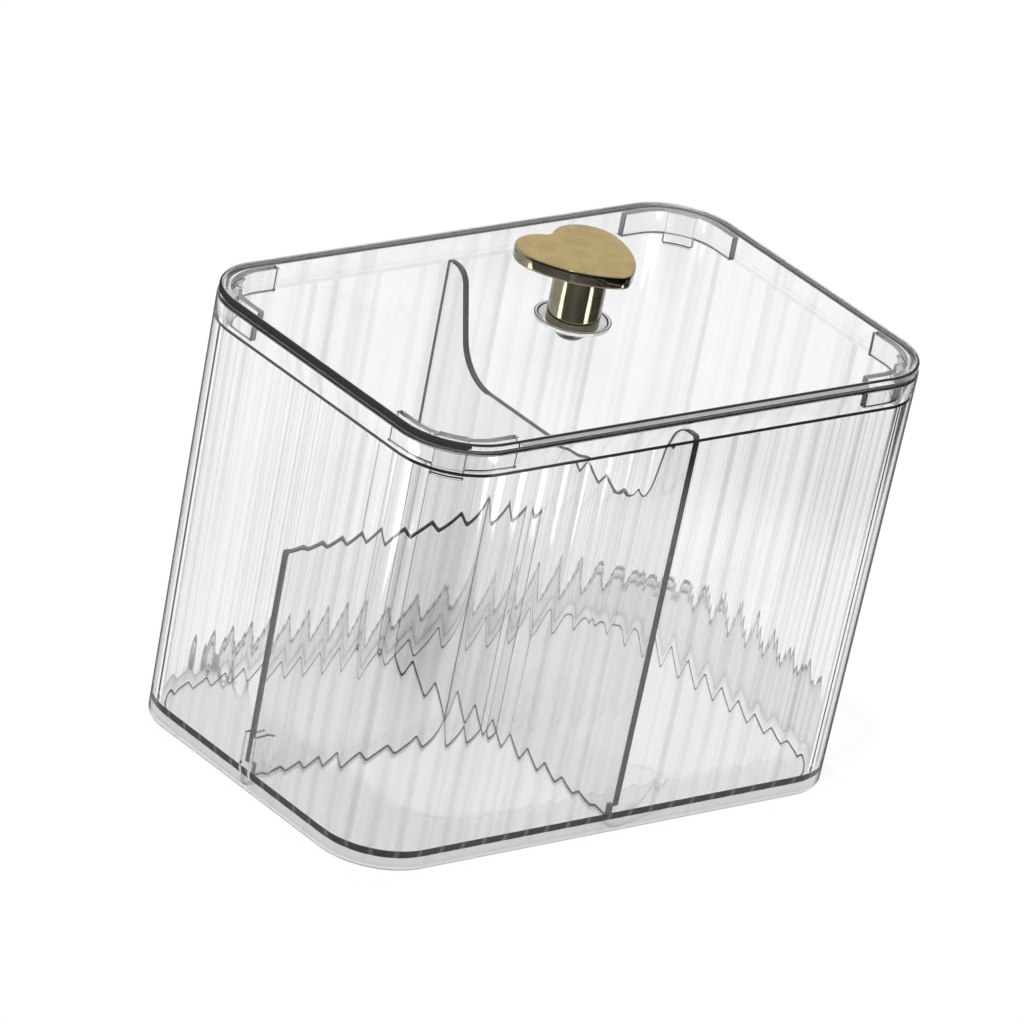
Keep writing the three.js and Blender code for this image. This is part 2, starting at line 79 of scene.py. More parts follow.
class BoxSizes(bpy.types.PropertyGroup):
    length: length("Length", "Outside length at the rim", 0.150)
    depth: length("Depth", "Outside depth at the rim", 0.098)
    height: length("Height", "From the underside to the rim", 0.1077)
    draft: length("Draft", "How far each side leans in from rim to foot", 0.0017)
    corner_radius: length("Corner Radius", "Outside corners in plan", 0.017)
    wall: length("Wall", "Wall thickness in the valleys of the flutes", 0.0023)
    floor: length("Floor", "Floor thickness", 0.0022)
    floor_round: length("Floor Round", "Inner rounding where the walls meet the floor", 0.0024)
    foot_round: length("Foot Round", "Rounding of the outer edge the box stands on", 0.0006)
    rim_round: length("Rim Round", "Rounding of the rim's outer and inner edge", 0.0005)
    band_height: length("Band Height", "Smooth band between the flutes and the rim", 0.0055)
    band_step: length("Band Step", "How much thinner the wall is in the band", 0.0003)
    band_fall: length("Band Fall", "Height over which the band's step runs out", 0.0009)
    flute_pitch: length("Flute Pitch", "Width of one flute", 0.0065)
    flute_depth: length("Flute Depth", "From a flute's valley to the ridge beside it", 0.00012)
    flute_ridge: share("Flute Ridge", "Share of a flute's width that rounds its ridges", 0.3, 0.01)
    flute_steps: IntProperty(name="Flute Steps", description="Points across one flute", default=20, min=4)
    guide_height: length("Guide Height", "Height of the guide ribs above the floor", 0.011)
    guide_reach: length("Guide Reach", "From the wall inwards", 0.0055)
    guide_thickness: length("Guide Thickness", "Thickness of a guide rib", 0.0009)
    guide_gap: length("Guide Gap", "Between a rib and the divider beside it", 0.00035)


class DividerSizes(bpy.types.PropertyGroup):
    thickness: length("Thickness", "Thickness of both dividers", 0.0017)
    clearance: length("Clearance", "From a divider's end to the flute valleys", 0.00047)
    notch_width: length("Notch Width", "Cut-outs in the bottom corners", 0.0016)
    notch_height: length("Notch Height", "Cut-outs in the bottom corners", 0.0034)
    foot: length("Foot", "Height of the dividers' feet above the underside of the box", 0.0025)
    tall_top: length("Tall Top", "Height of the horns above the underside of the box", 0.1026)
    tall_x: length("Tall X", "Place of the tall divider to the right of the middle", 0.0014)
    horn_width: length("Horn Width", "At the horn's top", 0.0061)
    horn_foot: length("Horn Foot", "Where the horn's flank would meet the scoop's bottom", 0.0132)
    scoop_depth: length("Scoop Depth", "From the horns' tops to the scoop's flat bottom", 0.0246)
    short_top: length("Short Top", "Height of the short divider above the underside of the box", 0.0609)
    short_y: length("Short Y", "Place of the short divider behind the middle", 0.0008)
    groove_depth: length("Groove Depth", "Upright groove that holds the short divider's end", 0.0007)
    groove_gap: length("Groove Gap", "Clearance in the groove", 0.0003)
    edge_round: length("Edge Round", "Rounding of the dividers' edges", 0.0003)
    corner_round: length("Corner Round", "Rounding of the top corners at the walls", 0.0008)
    horn_round: length("Horn Round", "Rounding at the top of a horn's flank", 0.005)
    scoop_round: length("Scoop Round", "Rounding between a horn's flank and the scoop's bottom", 0.012)


class LidSizes(bpy.types.PropertyGroup):
    gap: length("Gap", "Between the rim and the lid", 0.0003)
    thickness: length("Thickness", "Thickness of the plate", 0.002)
    edge_round: length("Edge Round", "Rounding of the plate's edge", 0.0007)
    shrink: length("Shrink", "How far the edge stays inside the box's outline", 0.0003)
    lug_thickness: length("Lug Thickness", "Thickness of the corner lugs", 0.0018)
    lug_height: length("Lug Height", "How far the lugs hang below the plate", 0.0059)
    lug_reach: length("Lug Reach", "From the box's outside to a lug's end", 0.023)
    lug_gap: length("Lug Gap", "Between a lug and the flute valleys", 0.00052)
    lug_round: length("Lug Round", "Rounding of the edges of lugs and tabs", 0.0002)
    tab_width: length("Tab Width", "Width of the deeper tab at each corner", 0.008)
    tab_drop: length("Tab Drop", "How far the tab hangs below its lug", 0.0023)
    tab_step: length("Tab Step", "How far the tab stands in from its lug", 0.0008)
    tab_inset: length("Tab Inset", "How far the tab's outer face is set back", 0.0003)


class KnobSizes(bpy.types.PropertyGroup):
    height: length("Height", "Top of the heart above the lid", 0.017)
    heart_thickness: length("Heart Thickness", "Thickness of the heart", 0.0032)
    heart_round: length("Heart Round", "Rounding of the heart's edges", 0.0006)
    lobe_radius: length("Lobe Radius", "Radius of the heart's lobes", 0.0082)
    lobe_spread: length("Lobe Spread", "Lobe centres from the heart's axis", 0.0064)
    lobe_rise: length("Lobe Rise", "Lobe centres behind the post's axis", 0.0055)
    tip_radius: length("Tip Radius", "Radius of the heart's tip", 0.0032)
    tip_drop: length("Tip Drop", "Tip centre in front of the post's axis", 0.0106)
    flank_radius: length("Flank Radius", "Radius of the heart's long flanks", 0.024)
    notch_radius: length("Notch Radius", "Radius of the notch between the lobes", 0.003)
    turn: FloatProperty(
        name="Turn",
        description="How far the tip is turned from the front",
        default=math.radians(7.7),
        unit="ROTATION",
    )
    post_radius: length("Post Radius", "Radius of the post", 0.00635)
    post_chamfer: length("Post Chamfer", "Chamfer at the post's foot", 0.0004)
    bore_reach: length("Bore Reach", "From the screw's head up to the end of its bore in the post", 0.0103)
    spigot_radius: length("Spigot Radius", "Radius of the post's spigot", 0.003)
    spigot_height: length("Spigot Height", "Height of the post's spigot", 0.0016)
    collar_wall: length("Collar Wall", "Collar's wall at its foot", 0.00035)
    collar_flare: length("Collar Flare", "How much wider the collar's rim is than its foot", 0.0023)
    collar_rise: length("Collar Rise", "Collar's rim above the lid", 0.0009)
    collar_drop: length("Collar Drop", "Collar's foot below the plate", 0.0006)
    collar_base: length("Collar Base", "Thickness of the collar's floor", 0.0014)
    collar_lip: length("Collar Lip", "Width of the collar's rim", 0.0009)
    collar_round: length("Collar Round", "Rounding of the collar's edges", 0.0004)
    gap: length("Gap", "Clearance between the knob's pieces", 0.0003)
    screw_radius: length("Screw Radius", "Radius of the screw", 0.0017)


class Tints(bpy.types.PropertyGroup):
    plastic: tinted("Plastic", "The box and the collar", "#fdfdfd")
    # Painted shade: the grey of the flutes' ridges and of the upright streaks beside them
    ridges: tinted("Ridges", "The flutes' ridges and the drag marks beside them", "#cececc")
    dividers: tinted("Dividers", "The sheets of the dividers", "#f1f1f0")
    lid: tinted("Lid", "The faces of the lid", "#fefefe")
    satin_gold: tinted("Satin Gold", "Top of the heart", "#b39d64")
    polished_gold: tinted("Polished Gold", "Rim of the heart, and the post", "#8f8976")
    zinc: tinted("Zinc", "The screw", "#66676a")


class StageSettings(bpy.types.PropertyGroup):
    key_strength: strength("Key", "Strength of the key lamp", 2.5)
    fill_strength: strength("Fill", "Strength of the even light around", 0.24)
    shadow_seen: share("Shadow Seen", "Share of the table's light that a shadow takes away", 0.07)
    shadow_through: share("Shadow Through", "The same share, seen through the plastic", 1.0)
    shadow_under: share("Shadow Under", "The same share, under the box itself", 0.2)


class OrganizerSettings(bpy.types.PropertyGroup):
    box: PointerProperty(type=BoxSizes, name="Box")
    divider: PointerProperty(type=DividerSizes, name="Dividers")
    lid: PointerProperty(type=LidSizes, name="Lid")
    knob: PointerProperty(type=KnobSizes, name="Knob")
    tints: PointerProperty(type=Tints, name="Tints")
    stage: PointerProperty(type=StageSettings, name="Stage")


def settings():
    return bpy.context.scene.organizer


# Outlines


def arc(x, y, radius, start, end, steps):
    turns = [start + (end - start) * i / steps for i in range(steps + 1)]
    return [Vector((x + radius * math.cos(a), y + radius * math.sin(a))) for a in turns]


def filleted(corners, steps=12):
    """Outline through corners given as (x, y, round), each rounded by an arc where round isn't 0."""
    points = []
    for i, (x, y, radius) in enumerate(corners):
        here = Vector((x, y))
        if radius == 0:
            points.append(here)
            continue
        before = (Vector(corners[i - 1][:2]) - here).normalized()
        after = (Vector(corners[(i + 1) % len(corners)][:2]) - here).normalized()
        half = before.angle(after) / 2
        centre = here + (before + after).normalized() * radius / math.sin(half)
        reach = radius / math.tan(half)
        first = here + before * reach - centre
        last = here + after * reach - centre
        start = math.atan2(first.y, first.x)
        turn = (math.atan2(last.y, last.x) - start + math.pi) % (2 * math.pi) - math.pi
        points += arc(centre.x, centre.y, radius, start, start + turn, steps)
    return points


def half_size(z, inset):
    """Half the box's length and depth at a height, less an inset."""
    box = settings().box
    lean = box.draft * (1 - z / box.height) + inset
    return box.length / 2 - lean, box.depth / 2 - lean


def wall_points(z, inset):
    """The wall's outline at a height as (point, outward direction, share of the way across its flute)."""
    box = settings().box
    x, y = half_size(z, inset)
    radius = box.corner_radius - inset
    corner_flutes = max(1, round((box.corner_radius - box.wall) * math.pi / 2 / box.flute_pitch))
    found = []
    for side in range(4):
        facing = (side - 1) * math.pi / 2
        out = Vector((math.cos(facing), math.sin(facing)))
        along = Vector((-out.y, out.x))
        is_long = side % 2 == 0
        whole = box.length if is_long else box.depth
        reach, run = (y, x - radius) if is_long else (x, y - radius)
        steps = round((whole - 2 * box.corner_radius) / box.flute_pitch) * box.flute_steps
        for k in range(steps):
            point = out * reach + along * run * (2 * k / steps - 1)
            found.append((point, out, k % box.flute_steps / box.flute_steps))
        centre = out * (reach - radius) + along * run
        steps = corner_flutes * box.flute_steps
        for k in range(steps):
            angle = facing + k / steps * math.pi / 2
            out_here = Vector((math.cos(angle), math.sin(angle)))
            found.append((centre + out_here * radius, out_here, k % box.flute_steps / box.flute_steps))
    return found


def quarter(z, inset, round_, steps, up, inward=True):
    """(height, inset) of the rings of a quarter-round edge. It starts on the flat face."""
    rings = []
    for i in range(steps + 1):
        angle = i / steps * math.pi / 2
        rise = round_ * (1 - math.cos(angle))
        shift = round_ * (1 - math.sin(angle))
        rings.append((z + (rise if up else -rise), inset + (shift if inward else -shift)))
    return rings


# Meshes


def new_object(name, vertices, faces):
    mesh = bpy.data.meshes.new(name)
    mesh.from_pydata(vertices, [], faces)
    piece = bpy.data.objects.new(name, mesh)
    bpy.context.scene.collection.objects.link(piece)
    outward(piece)
    return piece


def outward(piece):
    """Turns every face of a closed mesh to face out."""
    work = bmesh.new()
    work.from_mesh(piece.data)
    bmesh.ops.recalc_face_normals(work, faces=work.faces)
    work.to_mesh(piece.data)
    work.free()
    piece.data.update()


def lofted(name, rings):
    """Closed solid through rings of equal length, with a flat cap at each end."""
    count = len(rings[0])
    vertices = [point for ring in rings for point in ring]
    faces = []
    for level in range(len(rings) - 1):
        for i in range(count):
            a, b = level * count + i, level * count + (i + 1) % count
            faces.append((a, b, b + count, a + count))
    faces.append(tuple(reversed(range(count))))
    faces.append(tuple(range(len(vertices) - count, len(vertices))))
    return new_object(name, vertices, faces)


def extruded(name, outline, low, high, stand=Matrix.Identity(3)):
    """Plate from an outline in its own plane, from low to high across it, then stood up by a matrix."""
    rings = [[stand @ Vector((p.x, p.y, at)) for p in outline] for at in (low, high)]
    return lofted(name, rings)


def turned(name, profile, steps=96):
    """Solid of revolution about +Z from (radius, height) points, closed on the axis or in itself."""
    on_axis = profile[0][0] == 0
    middle = profile[1:-1] if on_axis else profile
    vertices, faces = [], []
    for radius, z in middle:
        for k in range(steps):
            angle = 2 * math.pi * k / steps
            vertices.append(Vector((radius * math.cos(angle), radius * math.sin(angle), z)))
    spans = len(middle) - 1 if on_axis else len(middle)
    for level in range(spans):
        low, high = level * steps, (level + 1) % len(middle) * steps
        for k in range(steps):
            faces.append((low + k, low + (k + 1) % steps, high + (k + 1) % steps, high + k))
    if on_axis:
        for ring, (_, z) in ((0, profile[0]), (len(middle) - 1, profile[-1])):
            vertices.append(Vector((0, 0, z)))
            tip = len(vertices) - 1
            faces += [(ring * steps + (k + 1) % steps, ring * steps + k, tip) for k in range(steps)]
    return new_object(name, vertices, faces)


def baked(piece):
    """Puts the result of a piece's modifiers in its own mesh."""
    graph = bpy.context.evaluated_depsgraph_get()
    mesh = bpy.data.meshes.new_from_object(piece.evaluated_get(graph))
    piece.modifiers.clear()
    old = piece.data
    piece.data = mesh
    bpy.data.meshes.remove(old)
    mesh.name = piece.name
    return piece


def bevelled(piece, width, segments=2, degrees=40):
    bevel = piece.modifiers.new("Edge", "BEVEL")
    bevel.width = width
    bevel.segments = segments
    bevel.limit_method = "ANGLE"
    bevel.angle_limit = math.radians(degrees)
    bevel.use_clamp_overlap = True
    return baked(piece)


def combined(piece, others, operation):
    """Joins other pieces to a piece, or cuts them from it."""
    for other in others:
        boolean = piece.modifiers.new("Join", "BOOLEAN")
        boolean.operation = operation
        boolean.solver = "EXACT"
        boolean.object = other
    baked(piece)
    for other in others:
        mesh = other.data
        bpy.data.objects.remove(other)
        bpy.data.meshes.remove(mesh)
    return piece


def smooth(piece, degrees=30):
    """Smooth shading over curves, with flat faces kept flat by weighting normals with face area."""
    piece.data.shade_smooth()
    piece.data.set_sharp_from_angle(angle=math.radians(degrees))
    weighted = piece.modifiers.new("Normals", "WEIGHTED_NORMAL")
    weighted.keep_sharp = True
    weighted.weight = 100
    return baked(piece)


def finished(piece, body, slot, *nodes):
    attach(piece, body)
    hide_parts(*nodes)


def paint(piece, names, choose=None):
    """Gives a piece the named materials, and each face the one whose name choose picks for it."""
    piece.data.materials.clear()
    for name in names:
        piece.data.materials.append(bpy.data.materials[name])
    for face in piece.data.polygons:
        face.material_index = names.index(choose(face)) if choose else 0


# Materials
# Sizes are in metres. A fade is given as from and to, and the levels that it goes from and to if not 0 and 1

WHITE = (1, 1, 1, 1)
STYRENE_IOR = 1.57  # clear styrene plastics lie between 1.56 and 1.59
PLASTIC_GLOSS = 0.3
ROUNDED_ROUGHNESS = 0.02
EDGE_ROUGHNESS = 0.04
TEXTURE_ROUGHNESS = 0.55
HAZE_ROUGHNESS = 0.35
HAZE_SHARE = 0.4  # of what a face mirrors
TOTAL_REFLECTION = 0.99  # past this share, the angle is one at which no light leaves the plastic
# Painted shade on the fluted walls: greyer ridges and upright grey streaks for the flutes' refraction
RIDGE_FADE = (0.4, 1.0)
RIDGE_PATCH = (0.0091, 0.0091, 0.5)  # about one flute and a half wide, and taller than the box
RIDGE_PATCH_FADE = (0.3, 0.7)
PAINTED_STREAK = (0.00333, 0.00333, 0.333)  # half a flute wide, and taller than the box
PAINTED_STREAK_FADE = (0.5, 0.8, 0.0, 0.5)
PAINTED_OUTLINE_FADE = (0.6, 0.93, 0.0, 0.9)
FOOT_RIDGE_FADE = (0.8, 1.0, 1.0, 0.85)
FOOT_PAINTED_LIGHT_SHARE = 0.7
SHADOW_SIDE = (0.3, 0.95, 0)  # away from the key lamp
SHADOW_FADE = (-0.01, 0.01)
PLATE_PATCH = 0.00455
PLATE_PATCH_FADE = (0.35, 0.65)
GRAIN_FADE = (0.3, 0.7)
GRAIN_ROUGHNESS = (0.8, 1.25)  # times a plate's own roughness


def add_node(tree, kind, inputs=(), **properties):
    """Adds a node, sets its properties, and sets or links its inputs, given by name or in order."""
    node = tree.nodes.new(kind)
    for name, value in properties.items():
        setattr(node, name, value)
    values = inputs if isinstance(inputs, dict) else dict(enumerate(inputs))
    for name, value in values.items():
        if isinstance(value, bpy.types.Node):
            value = next(socket for socket in value.outputs if socket.enabled)
        if isinstance(value, bpy.types.NodeSocket):
            tree.links.new(value, node.inputs[name])
        else:
            node.inputs[name].default_value = value
    return node


def new_material(name):
    """Makes a material and returns its empty node tree."""
    material = bpy.data.materials.new(name)
    material.use_nodes = True
    material.node_tree.nodes.clear()
    return material.node_tree


def rim_shadow(tree, near, far):
    """Shadow colour of a rim: pale on the key lamp's side, where the light goes on into the plate."""
    place = add_node(tree, "ShaderNodeTexCoord").outputs["Object"]
    across = add_node(tree, "ShaderNodeVectorMath", (place, SHADOW_SIDE), operation="DOT_PRODUCT")
    side = add_node(tree, "ShaderNodeMapRange", (across, *SHADOW_FADE), interpolation_type="SMOOTHSTEP")
    return add_node(tree, "ShaderNodeMix", {"Factor": side, "A": near, "B": far}, data_type="RGBA")


def finish_plastic(tree, shader, shadow):
    """Shows a shader to sight, and lets light that only falls on other things straight through, tinted.

    The shadow is one colour, or a pair for the side of a rim near the key lamp and the side away from it.
    """
    path = add_node(tree, "ShaderNodeLightPath").outputs
    only_light = add_node(
        tree, "ShaderNodeMath", (path["Is Shadow Ray"], path["Is Diffuse Ray"]), operation="MAXIMUM"
    )
    colour = rim_shadow(tree, *shadow) if len(shadow) == 2 else shadow
    through = add_node(tree, "ShaderNodeBsdfTransparent", {"Color": colour})
    both = add_node(tree, "ShaderNodeMixShader", (only_light, shader, through))
    add_node(tree, "ShaderNodeOutputMaterial", {"Surface": both})


def plastic_shader(tree, tint, roughness=0.0):
    values = {"Base Color": tint, "Roughness": roughness, "IOR": STYRENE_IOR, "Transmission Weight": 1.0}
    return add_node(tree, "ShaderNodeBsdfPrincipled", {**values, "Specular IOR Level": PLASTIC_GLOSS})


def clear_plastic(name, tint, shadow, roughness=0.0):
    """Clear moulded plastic."""
    tree = new_material(name)
    finish_plastic(tree, plastic_shader(tree, tint, roughness), shadow)


def hazy_plastic(name, tint, shadow):
    """Clear plastic with blurred reflections, which mirrors fully where light can't leave it."""
    tree = new_material(name)
    mirror = add_node(tree, "ShaderNodeBsdfGlossy", {"Color": tint, "Roughness": HAZE_ROUGHNESS})
    view = add_node(tree, "ShaderNodeBsdfRefraction", {"Color": tint, "Roughness": 0.0, "IOR": STYRENE_IOR})
    mirrored = add_node(tree, "ShaderNodeFresnel", {"IOR": STYRENE_IOR})
    blurred = add_node(tree, "ShaderNodeMath", (mirrored, HAZE_SHARE), operation="MULTIPLY")
    total = add_node(tree, "ShaderNodeMath", (mirrored, TOTAL_REFLECTION), operation="GREATER_THAN")
    part = add_node(tree, "ShaderNodeMath", (blurred, total), operation="MAXIMUM")
    finish_plastic(tree, add_node(tree, "ShaderNodeMixShader", (part, view, mirror)), shadow)


def fluted_plastic(name, tint, painted_ridge_tint, outline, shadow):
    """Clear plastic with painted shade: greyer ridges, faint upright grey streaks, and a dark outline where a
    wall turns away.
    """
    tree = new_material(name)
    ridge = add_node(tree, "ShaderNodeAttribute", attribute_name="ridge").outputs["Fac"]
    place = add_node(tree, "ShaderNodeTexCoord").outputs["Object"]
    per_patch = add_node(tree, "ShaderNodeVectorMath", (place, RIDGE_PATCH), operation="DIVIDE")
    patches = add_node(tree, "ShaderNodeTexNoise", {"Vector": per_patch, "Scale": 1.0, "Detail": 0.0})
    uneven = add_node(
        tree, "ShaderNodeMapRange", (patches, *RIDGE_PATCH_FADE), interpolation_type="SMOOTHSTEP"
    )
    crest = add_node(tree, "ShaderNodeMapRange", (ridge, *RIDGE_FADE), interpolation_type="SMOOTHSTEP")
    on_ridge = add_node(tree, "ShaderNodeMath", (crest, uneven), operation="MULTIPLY")
    # Faint upright grey streaks: painted shade for the flutes' refraction
    per_painted_streak = add_node(tree, "ShaderNodeVectorMath", (place, PAINTED_STREAK), operation="DIVIDE")
    marks = add_node(tree, "ShaderNodeTexNoise", {"Vector": per_painted_streak, "Scale": 1.0, "Detail": 1.0})
    painted_streak = add_node(tree, "ShaderNodeMapRange", (marks, *PAINTED_STREAK_FADE), interpolation_type="SMOOTHSTEP")
    grey = add_node(tree, "ShaderNodeMath", (on_ridge, painted_streak), operation="MAXIMUM")
    tone = add_node(tree, "ShaderNodeMix", {"Factor": grey, "A": tint, "B": painted_ridge_tint}, data_type="RGBA")
    clear = plastic_shader(tree, tone)
    # Painted shade: a dark matt outline where the wall turns away from sight, seen from the air
    lost = add_node(tree, "ShaderNodeBsdfDiffuse", {"Color": outline})
    facing = add_node(tree, "ShaderNodeLayerWeight", {"Blend": 0.5}).outputs["Facing"]
    painted_outline = add_node(
        tree, "ShaderNodeMapRange", (facing, *PAINTED_OUTLINE_FADE), interpolation_type="SMOOTHSTEP"
    )
    inside = add_node(tree, "ShaderNodeNewGeometry").outputs["Backfacing"]
    part = add_node(tree, "ShaderNodeMix", {"Factor": inside, "A": painted_outline, "B": 0.0}, data_type="FLOAT")
    finish_plastic(tree, add_node(tree, "ShaderNodeMixShader", (part, clear, lost)), shadow)


def matt_plastic(name, colour, shadow):
    """Edge of a clear sheet that swallows the light inside it, painted in a dark matt colour: painted shade.
    """
    tree = new_material(name)
    finish_plastic(tree, add_node(tree, "ShaderNodeBsdfDiffuse", {"Color": colour}), shadow)


def part_matt_plastic(name, tint, matt, shadow, from_air, from_inside, roughness=ROUNDED_ROUGHNESS):
    """Clear plastic with a share of a matt colour, one seen from the air and one from inside the plastic. A
    dark matt colour is painted shade, the underside's white painted light.
    """
    tree = new_material(name)
    clear = plastic_shader(tree, tint, roughness)
    lost = add_node(tree, "ShaderNodeBsdfDiffuse", {"Color": matt})
    inside = add_node(tree, "ShaderNodeNewGeometry").outputs["Backfacing"]
    part = add_node(
        tree, "ShaderNodeMix", {"Factor": inside, "A": from_air, "B": from_inside}, data_type="FLOAT"
    )
    finish_plastic(tree, add_node(tree, "ShaderNodeMixShader", (part, clear, lost)), shadow)


def floor_rounding(name, tint, dark, shadow):
    """Painted shade from inside the plastic, a little less on the flutes' ridges, and painted light, pale,
    from the air.
    """
    tree = new_material(name)
    inside = add_node(tree, "ShaderNodeNewGeometry").outputs["Backfacing"]
    ridge = add_node(tree, "ShaderNodeAttribute", attribute_name="ridge").outputs["Fac"]
    broken = add_node(
        tree, "ShaderNodeMapRange", (ridge, *FOOT_RIDGE_FADE), interpolation_type="SMOOTHSTEP"
    )
    part = add_node(tree, "ShaderNodeMath", (inside, broken), operation="MULTIPLY")
    clear = plastic_shader(tree, tint, ROUNDED_ROUGHNESS)
    pale = add_node(tree, "ShaderNodeBsdfDiffuse", {"Color": WHITE})
    from_air = add_node(tree, "ShaderNodeMixShader", (FOOT_PAINTED_LIGHT_SHARE, clear, pale))
    lost = add_node(tree, "ShaderNodeBsdfDiffuse", {"Color": dark})
    finish_plastic(tree, add_node(tree, "ShaderNodeMixShader", (part, from_air, lost)), shadow)


def plated(name, tint, shade, roughness, grain, depth):
    """Plated metal: patches of a second shade, and a grain of a given size and depth that roughens it."""
    tree = new_material(name)
    place = add_node(tree, "ShaderNodeTexCoord").outputs["Object"]
    patches = add_node(tree, "ShaderNodeTexNoise", {"Vector": place, "Scale": 1 / PLATE_PATCH, "Detail": 2.0})
    patch = add_node(
        tree, "ShaderNodeMapRange", (patches, *PLATE_PATCH_FADE), interpolation_type="SMOOTHSTEP"
    )
    tone = add_node(tree, "ShaderNodeMix", {"Factor": patch, "A": tint, "B": shade}, data_type="RGBA")
    grains = add_node(tree, "ShaderNodeTexNoise", {"Vector": place, "Scale": 1 / grain, "Detail": 2.0})
    spread = [roughness * times for times in GRAIN_ROUGHNESS]
    rough = add_node(
        tree, "ShaderNodeMapRange", (grains, *GRAIN_FADE, *spread), interpolation_type="SMOOTHSTEP"
    )
    relief = add_node(tree, "ShaderNodeBump", {"Strength": 1.0, "Distance": depth, "Height": grains})
    values = {"Base Color": tone, "Metallic": 1.0, "Roughness": rough, "Normal": relief}
    plate = add_node(tree, "ShaderNodeBsdfPrincipled", values)
    add_node(tree, "ShaderNodeOutputMaterial", {"Surface": plate})


def finishes():
    """Makes the materials that the pieces share, once."""
    if "clear polystyrene" in bpy.data.materials:
        return
    tints = settings().tints
    faint, dark_rim = linear("#f8f8f8"), (WHITE, linear("#080808"))
    # Moulded off polished steel: water-clear and glossy, with only a trace of grey over the plastic's length
    clear_plastic("clear polystyrene", tints.plastic, faint)
    # The dividers' moulded sheets: as clear and glossy, and a trace greyer, painted shade for the look
    # through stacked sheets
    clear_plastic("sheet polystyrene", tints.dividers, faint)
    # The lid's moulded faces: a fine haze blurs what they mirror and leaves the straight view through sharp
    hazy_plastic("lid polystyrene", tints.lid, linear("#fcfcfc"))
    # The box's walls, drawn off a fluted core. Painted shade for the flutes' refraction: greyer ridges, grey
    # streaks
    fluted_plastic(
        "fluted polystyrene", tints.plastic, tints.ridges, linear("#44433c"), linear("#eeeeee")
    )
    # The rim's moulded top: clear to the eye, and dark in the shadow where the light runs down the wall
    clear_plastic("rim polystyrene", tints.plastic, (WHITE, linear("#303030")))
    # Narrow moulded edges and roundings, tinted grey: painted shade for the light that is piped along inside
    # the sheet
    clear_plastic("polystyrene edge", linear("#8f908e"), dark_rim, EDGE_ROUGHNESS)
    # Sheared or ground edges, painted matt and nearly black: painted shade, as no light comes back from them
    matt_plastic("cut edge", linear("#2c2c2b"), linear("#c8c8c7"))
    # The lid's moulded upper rounding, painted dark from all sides: painted shade, as it leads the light away
    # along the plate
    matt_plastic("lid edge", linear("#3c3c3b"), dark_rim)
    # The moulded ledge under the smooth band and the sheets' ends: painted dark from inside, painted shade
    # for where light can't leave
    part_matt_plastic(
        "inner rounding",
        linear("#e4e4e2"),
        linear("#343433"),
        linear("#a8a8a6"),
        from_air=0.0,
        from_inside=1.0,
    )
    # The moulded rounding between floor and fluted walls: painted shade, a dark line from outside, broken by
    # the ridges; painted light, pale, from the air
    floor_rounding("floor rounding", tints.plastic, linear("#0c0c0c"), linear("#fafafa"))
    # The lid's moulded lower rounding: painted dark from the air, as the one above, painted shade, and clear
    # from inside
    part_matt_plastic(
        "outer rounding",
        linear("#f0f0ee"),
        linear("#3c3c3b"),
        dark_rim,
        from_air=1.0,
        from_inside=0.0,
    )
    # The collar's cone, ground matt to grip the lid: it looks frosted through the plastic
    part_matt_plastic("ground seat", tints.plastic, WHITE, faint, from_air=0.0, from_inside=0.6)
    # Underside with the fine spark-eroded texture of the mould: it looks frosted, seen from above, and its
    # white matt share is painted light from the white table beneath
    part_matt_plastic(
        "textured underside",
        tints.plastic,
        WHITE,
        faint,
        from_air=0.0,
        from_inside=0.8,
        roughness=TEXTURE_ROUGHNESS,
    )
    # Cast zinc, bead-blasted and gold plated: a soft even sheen. Its grain is drawn coarse enough to show
    plated(
        "satin gold plate",
        tints.satin_gold,
        linear("#a8925c"),
        roughness=0.32,
        grain=0.0004,
        depth=0.000012,
    )
    # The same plate over polished metal, on the heart's rim and the turned post: hard dark and light stripes,
    # a little uneven from the waviness that polishing leaves
    plated(
        "polished gold plate",
        tints.polished_gold,
        linear("#867f6b"),
        roughness=0.045,
        grain=0.0015,
        depth=0.000004,
    )
    # Steel screw, bright zinc plated: grey and slightly rough
    plated("zinc plate", tints.zinc, linear("#545558"), roughness=0.3, grain=0.0005, depth=0.00001)


# Pieces

# Turns of a plate's own plane that stand it upright along X or along Y
ALONG_X = Matrix(((1, 0, 0), (0, 0, -1), (0, 1, 0)))
ALONG_Y = Matrix(((0, 0, 1), (1, 0, 0), (0, 1, 0)))

# Faces across each rounding
FOOT_STEPS = 6
RIM_STEPS = 5
INNER_RIM_STEPS = 4
LID_STEPS = 5
LUG_STEPS = 1
HEART_STEPS = 8

# Attributes of the box's mesh that the flutes read
FLUTE_MARKS = (("flute_share", "FLOAT"), ("flute_in", "FLOAT_VECTOR"), ("fluted", "FLOAT"), ("kind", "INT"))


